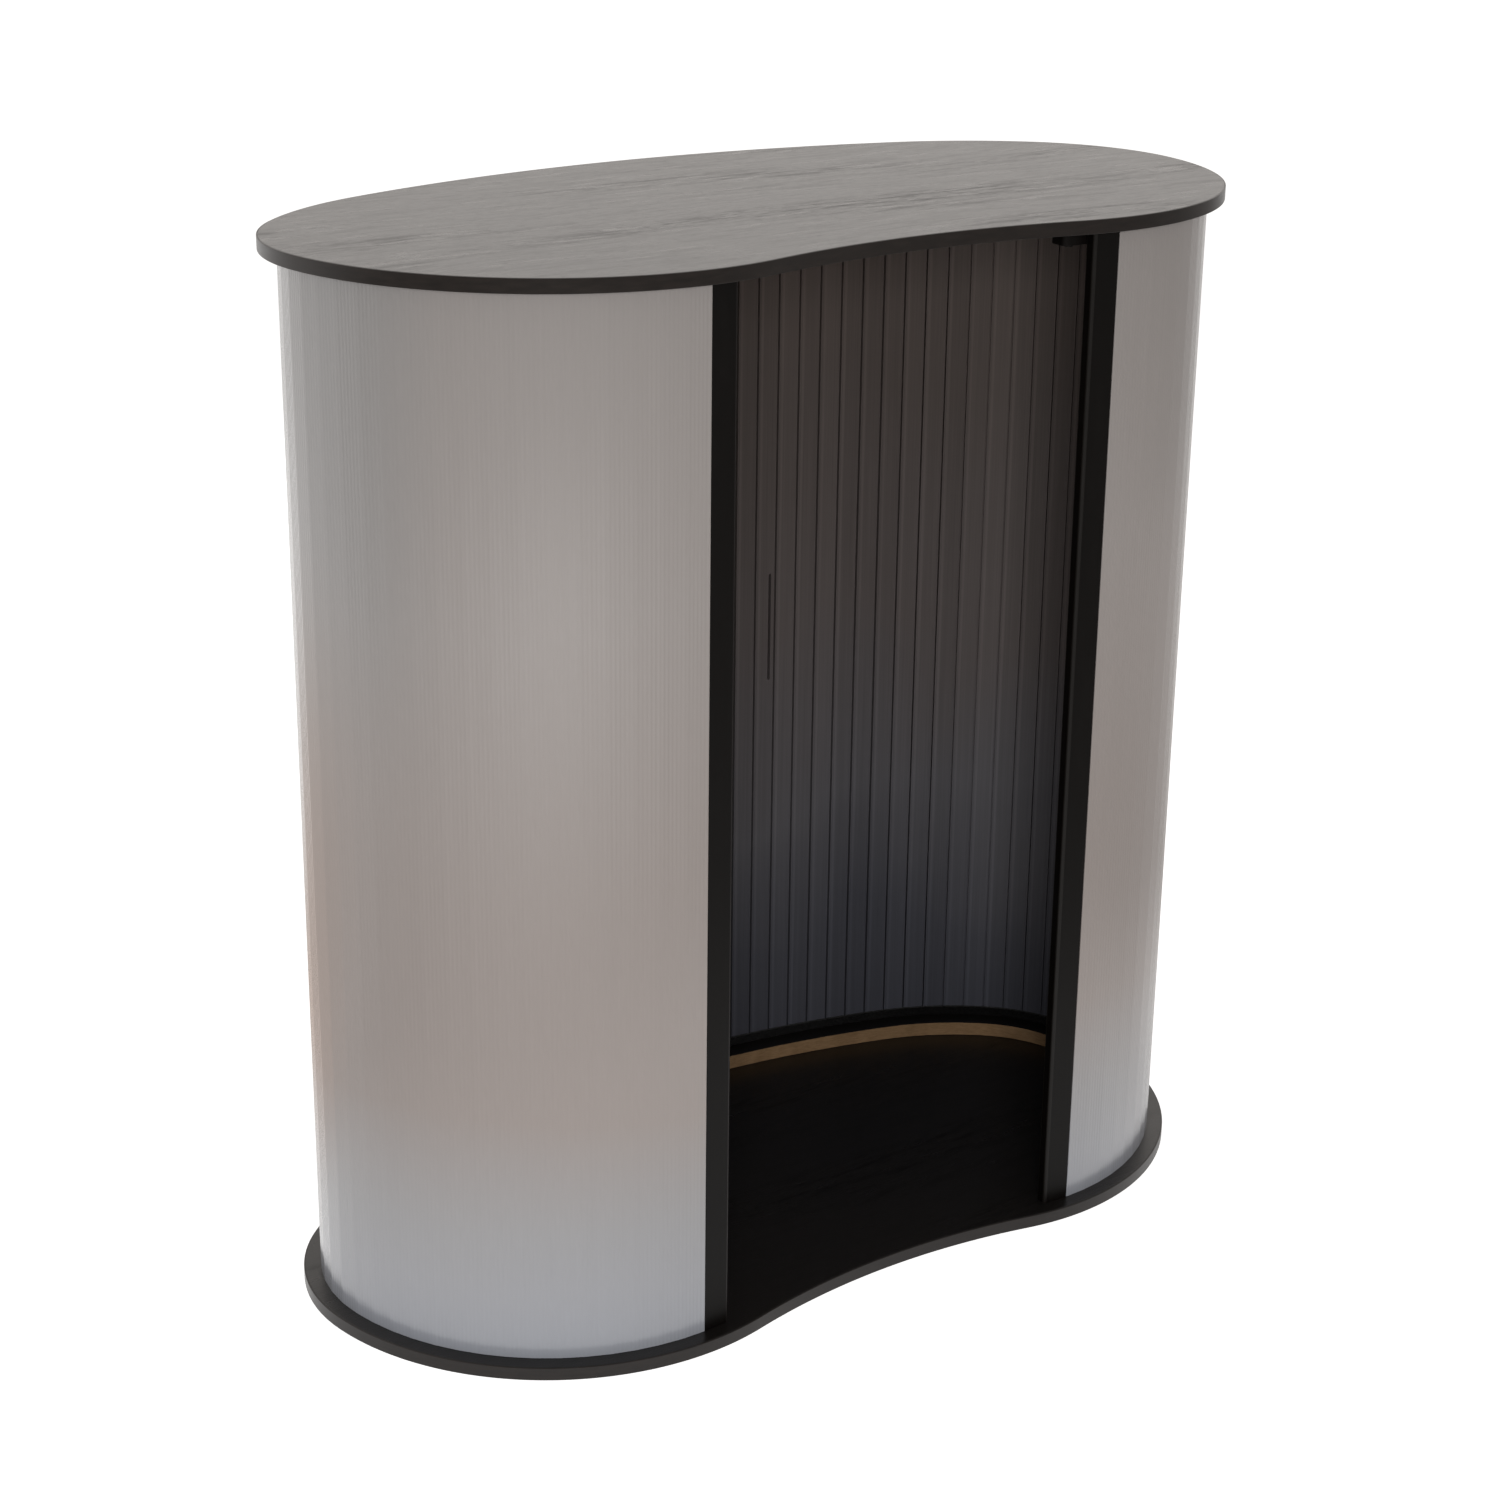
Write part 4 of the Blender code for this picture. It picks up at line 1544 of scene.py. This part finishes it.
@dataclass
class Fasteners:
    """Screws of the rings and the posts."""

    wall: RolledWall
    finish: Material
    ring_screw: Screw
    post_screw: Screw
    per_ring: int = 6
    post_shares: tuple[float, ...] = (0.14, 0.5, 0.86)
    seat_depth: float = 0.0134
    lip: float = 0.010

    def build(self) -> None:
        """Place a copy of each screw on its CAD node."""
        template = self.ring_screw.template()
        for level in ("base", "top"):
            for number in range(1, self.per_ring + 1):
                node = f"{level}_ring_screw_{number}"
                low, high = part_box(node)
                place = Matrix.Translation(((low.x + high.x) / 2, (low.y + high.y) / 2, low.z))
                screw = template.copied(f"{level}_sunk_screw_{number}", place)
                screw.dressed(self.finish).fitted(ZincPlate.slot, node)
        template.scrapped()
        template = self.post_screw.template()
        for side, name in SIDES:
            for number, share in enumerate(self.post_shares, 1):
                up = self.wall.foot + share * (self.wall.head - self.wall.foot)
                seat = (side * (self.wall.reach - self.lip / 2), -self.seat_depth, up)
                place = Matrix.Translation(seat) @ Matrix.Rotation(-math.pi / 2, 4, "X")
                screw = self.wall.rolled(template.copied(f"{name}_pan_screw_{number}", place))
                screw.dressed(self.finish).fitted(ZincPlate.slot, f"{name}_post_screw_{number}")
        template.scrapped()


@dataclass
class TurnCatch:
    """Turn catch under the worktop, with its washer and screw."""

    moulding: Material
    plate: Material
    steel: Material
    width: float = 0.022
    arm: float = 0.042
    heel: float = 0.013
    corner: float = 0.006
    arris: float = 0.0009
    turn: float = math.radians(-4.19)
    bore: float = 0.0023
    pivot_from_post: float = 0.010
    post_width: float = 0.028
    groove_length: float = 0.010
    groove_depth: float = 0.0065
    groove_height: float = 0.0055
    washer_radius: float = 0.008
    washer_sides: int = 48
    washer_rounding: float = 0.0003
    screw_head_radius: float = 0.0045
    screw_head_depth: float = 0.0025
    screw_radius: float = 0.002

    def bored(self, piece: Piece, low: float, high: float) -> Piece:
        """Bore a piece at its pivot, from below its foot to above its head."""
        return piece.cut(Piece.disc("bore", self.bore, low - OVERSHOOT, high + OVERSHOOT))

    def build(self) -> None:
        """Shape the catch at its pivot and fit it with its small parts."""
        low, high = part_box("turn_catch")
        washer_low, washer_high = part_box("catch_washer")
        pivot = (washer_low + washer_high) / 2
        place = Matrix.Translation((pivot.x, pivot.y, 0.0))
        half = self.width / 2
        piece = Piece.block("catch_arm", (-self.heel, -half, low.z), (self.arm, half, high.z))
        piece.rounded(self.corner, 8, runs(2)).rounded(self.arris, 3, level_edge)
        self.bored(piece, low.z, high.z)
        centre, long = self.pivot_from_post + self.post_width / 2, self.groove_length / 2
        middle, tall = (low.z + high.z) / 2, self.groove_height / 2
        piece.cut(Piece.block(
            "groove",
            (centre - long, -half - OVERSHOOT, middle - tall),
            (centre + long, -half + self.groove_depth, middle + tall),
        ))
        piece.moved(place @ Matrix.Rotation(self.turn, 4, "Z")).dressed(self.moulding)
        piece.fitted(BlackMoulding.slot, "turn_catch", body="catch")

        low, high = washer_low.z, washer_high.z
        washer = Piece.disc("catch_washer_ring", self.washer_radius, low, high, self.washer_sides)
        washer.rounded(self.washer_rounding, 2, level_edge)
        self.bored(washer, low, high)
        washer.moved(place).dressed(self.plate).fitted(ZincPlate.slot, "catch_washer")

        foot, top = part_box("catch_screw")
        seat = foot.z + self.screw_head_depth
        sizes = (self.screw_head_radius, self.screw_head_depth, self.screw_radius, top.z - seat)
        screw = Screw(Head.PAN, *sizes).template()
        screw.body.name = "catch_pivot_screw"
        screw.moved(Matrix.Translation((pivot.x, pivot.y, seat)))
        screw.dressed(self.steel).fitted(BlackenedSteel.slot, "catch_screw")


@dataclass(frozen=True)
class Lamp:
    """A soft square lamp that looks at the counter and isn't mirrored in it."""

    name: str
    place: Triple
    size: float
    power: float
    colour: Triple
    target: Triple = (0.0, 0.0, 0.5)

    def build(self) -> None:
        """Hang the lamp."""
        lamp = bpy.data.lights.new(self.name, "AREA")
        lamp.size = self.size
        lamp.energy = self.power
        lamp.color = self.colour
        stand = bpy.data.objects.new(self.name, lamp)
        aim = (Vector(self.target) - Vector(self.place)).to_track_quat("-Z", "Y")
        stand.matrix_world = Matrix.Translation(self.place) @ aim.to_matrix().to_4x4()
        stand.visible_glossy = False
        bpy.context.scene.collection.objects.link(stand)


@dataclass
class Studio:
    """Pale floor, soft light and the camera of the photograph."""

    camera_place: Triple = (-1.574, -2.140, 1.449)
    azimuth: float = math.radians(-36.19)
    pitch: float = math.radians(20.29)
    roll: float = math.radians(0.73)
    lens: float = 70.106
    sensor: float = 36.0
    floor_size: float = 30.0
    floor_drop: float = 0.0002
    air: float = 0.43
    glow: float = 0.76
    air_colour: Triple = (1.0, 0.950, 0.910)
    paper: Triple = (0.80, 0.80, 0.80)
    painted_reflection_brown: Triple = (0.46, 0.30, 0.22)
    white: Triple = (1.0, 1.0, 1.0)
    lamps: tuple[Lamp, ...] = (
        Lamp("key_lamp", (-1.84, -2.73, 1.50), 0.8, 54.0, (1.0, 0.99, 0.98)),
        Lamp("left_lamp", (-2.8, 0.2, 1.2), 1.8, 3.0, (0.92, 0.96, 1.0)),
        Lamp("right_lamp", (2.6, -1.0, 1.2), 1.8, 5.5, (1.0, 0.88, 0.84)),
        Lamp("front_lamp", (0.8, 2.8, 1.6), 1.8, 18.0, (1.0, 0.98, 0.96)),
    )

    def build_camera(self) -> None:
        """Stand the camera where the photograph was taken."""
        aim = Matrix.Rotation(self.azimuth, 4, "Z") @ Matrix.Rotation(math.pi / 2 - self.pitch, 4, "X")
        camera = bpy.data.cameras.new("photo_camera")
        camera.lens = self.lens
        camera.sensor_width = self.sensor
        camera.sensor_fit = "HORIZONTAL"
        stand = bpy.data.objects.new("photo_camera", camera)
        turn = aim @ Matrix.Rotation(self.roll, 4, "Z")
        stand.matrix_world = Matrix.Translation(self.camera_place) @ turn
        bpy.context.scene.collection.objects.link(stand)
        bpy.context.scene.camera = stand

    def seen_white(self, graph: Graph, mirrored: Signal) -> Signal:
        """1 for all that the camera sees, and a given share of what gloss mirrors."""
        seen = graph.ray("Camera").or_more(graph.ray("Glossy") * mirrored)
        return seen.or_more(graph.ray("Transmission"))

    def build_floor(self) -> None:
        """Lay a white floor that keeps the soft shadow, with a painted brown reflection that the skin's left
        rim mirrors.
        """
        cleared()
        bpy.ops.mesh.primitive_plane_add(size=self.floor_size, location=(0.0, 0.0, -self.floor_drop))
        floor = bpy.context.active_object
        floor.name = "studio_floor"
        graph = Graph(bpy.data.materials.new("studio_floor"))
        place = graph.place()
        direction = graph.node("ShaderNodeVectorMath", {"operation": "NORMALIZE"}, {0: place})
        away = graph.node("ShaderNodeVectorMath", {"operation": "LENGTH"}, {0: place}, "Value")
        x, y = graph.part(direction, 0), graph.part(direction, 1)
        # Painted reflection: gloss sees the floor white near the counter, fading with distance and dimmer
        # towards the front right, for the skin's rims.
        right = x.between(0.3, 0.9) * y.between(-0.62, -0.30)
        near = (0.85 - 0.85 * away.between(0.65, 1.25)) * (1.0 - 0.5 * right)
        seen = self.seen_white(graph, y.between(0.05, 0.65).or_more(near))
        # Painted reflection: a brown patch that only gloss sees, mirrored by the skin's left rim.
        beyond = y.between(0.30, 0.60) * (-1.0 * x).between(0.12, 0.45)
        brown = beyond * away.between(0.42, 0.80) * (1.0 - 0.90 * away.between(1.10, 3.00))
        colour = graph.blend(graph.ray("Glossy") * brown, self.white, self.painted_reflection_brown)
        paper = graph.node("ShaderNodeBsdfDiffuse", {}, {"Color": (*self.paper, 1.0)})
        glow = graph.node("ShaderNodeEmission", {}, {"Color": colour, "Strength": self.glow * seen})
        floor.data.materials.append(graph.surface(graph.node("ShaderNodeAddShader", {}, {0: paper, 1: glow})))
        floor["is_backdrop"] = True

    def build_world(self) -> None:
        """White air that is dimmer behind the photographer and gives a plain level of light."""
        graph = Graph(bpy.data.worlds.new("studio_air"))
        direction = graph.node("ShaderNodeTexCoord", {}, {}, "Generated")
        backdrop = graph.part(direction, 1).between(-0.35, 0.25)
        level = self.air + (1.0 - self.air) * self.seen_white(graph, backdrop)
        colour = graph.blend(graph.ray("Camera"), self.air_colour, self.white)
        inputs = {"Color": colour, "Strength": level}
        bpy.context.scene.world = graph.surface(graph.node("ShaderNodeBackground", {}, inputs))

    def build(self) -> None:
        """Set up the whole studio."""
        self.build_camera()
        self.build_floor()
        self.build_world()
        for lamp in self.lamps:
            lamp.build()
        bpy.context.scene.view_settings.view_transform = "Standard"


@dataclass
class ExhibitionCounter:
    """The whole counter."""

    outline: PlanOutline = field(default_factory=PlanOutline)

    def build(self) -> None:
        """Build and dress every sub-assembly in order."""
        wall = RolledWall(self.outline)
        ash = BlackAshLaminate().material()
        trodden_ash = BlackAshLaminate(gloss=0.45, slot="trodden_ash_laminate").material()
        edge = BlackEdgeBand().material()
        raw = RawBoard().material()
        profile = BlackProfile().material()
        # The opening edge's finish: the profile in a lighter colour, as a painted highlight.
        painted_arris_highlight = BlackProfile(
            (0.0068, 0.0059, 0.0052), (0.0160, 0.0145, 0.0137), gloss=0.22, slot="worn_profile_edge"
        ).material()
        zinc = ZincPlate().material()

        for level, node, bottom, face in (
            ("base", "base", 0.0, trodden_ash), ("worktop", "top", wall.height - wall.board, ash)
        ):
            board = Board(self.outline, level, node, bottom, face, edge)
            board.build_board()
            board.build_band()
        LocatingRing(wall, "base", wall.foot, raw, trodden_ash, right_setback=0.032).build()
        under_top = wall.head - LocatingRing.thickness
        LocatingRing(wall, "top", under_top, raw, ash, right_setback=0.0352).build()
        FixingTape(wall, BlackPile().material()).build()
        RibbedSkin(wall, SilverSkin().material()).build()
        slats = SlatWall(wall, DarkSlat(wall.pitch, -wall.reach).material())
        slats.build_backing()
        slats.build_runs()
        slats.build_slotted()
        for side, name in SIDES:
            EndPost(wall, side, name, profile, painted_arris_highlight).build()
        Fasteners(
            wall, zinc,
            Screw(Head.COUNTERSUNK, head_radius=0.004, head_depth=0.0022, shank_radius=0.002, length=0.022),
            Screw(Head.PAN, head_radius=0.003, head_depth=0.0018, shank_radius=0.0015, length=0.0085),
        ).build()
        TurnCatch(BlackMoulding().material(), zinc, BlackenedSteel().material()).build()


def corners(box: tuple[Vector, Vector]) -> list[list[float]]:
    """Both corners of a box as plain numbers."""
    return [[float(value) for value in corner] for corner in box]


def main() -> None:
    """Load the frame, then build the counter and the studio."""
    logging.basicConfig(level=logging.INFO, format="%(message)s")
    for leftover in list(bpy.data.objects):
        bpy.data.objects.remove(leftover, do_unlink=True)
    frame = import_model()
    cad_box = corners(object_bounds())
    ExhibitionCounter().build()
    stud = frame["nodes"]["catch_stud"]
    stud.material_slots[0].material = bpy.data.materials[ZincPlate.slot]
    Studio().build()
    {"cad": cad_box, "visual": corners(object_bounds())}


if __name__ == "__main__":
    main()
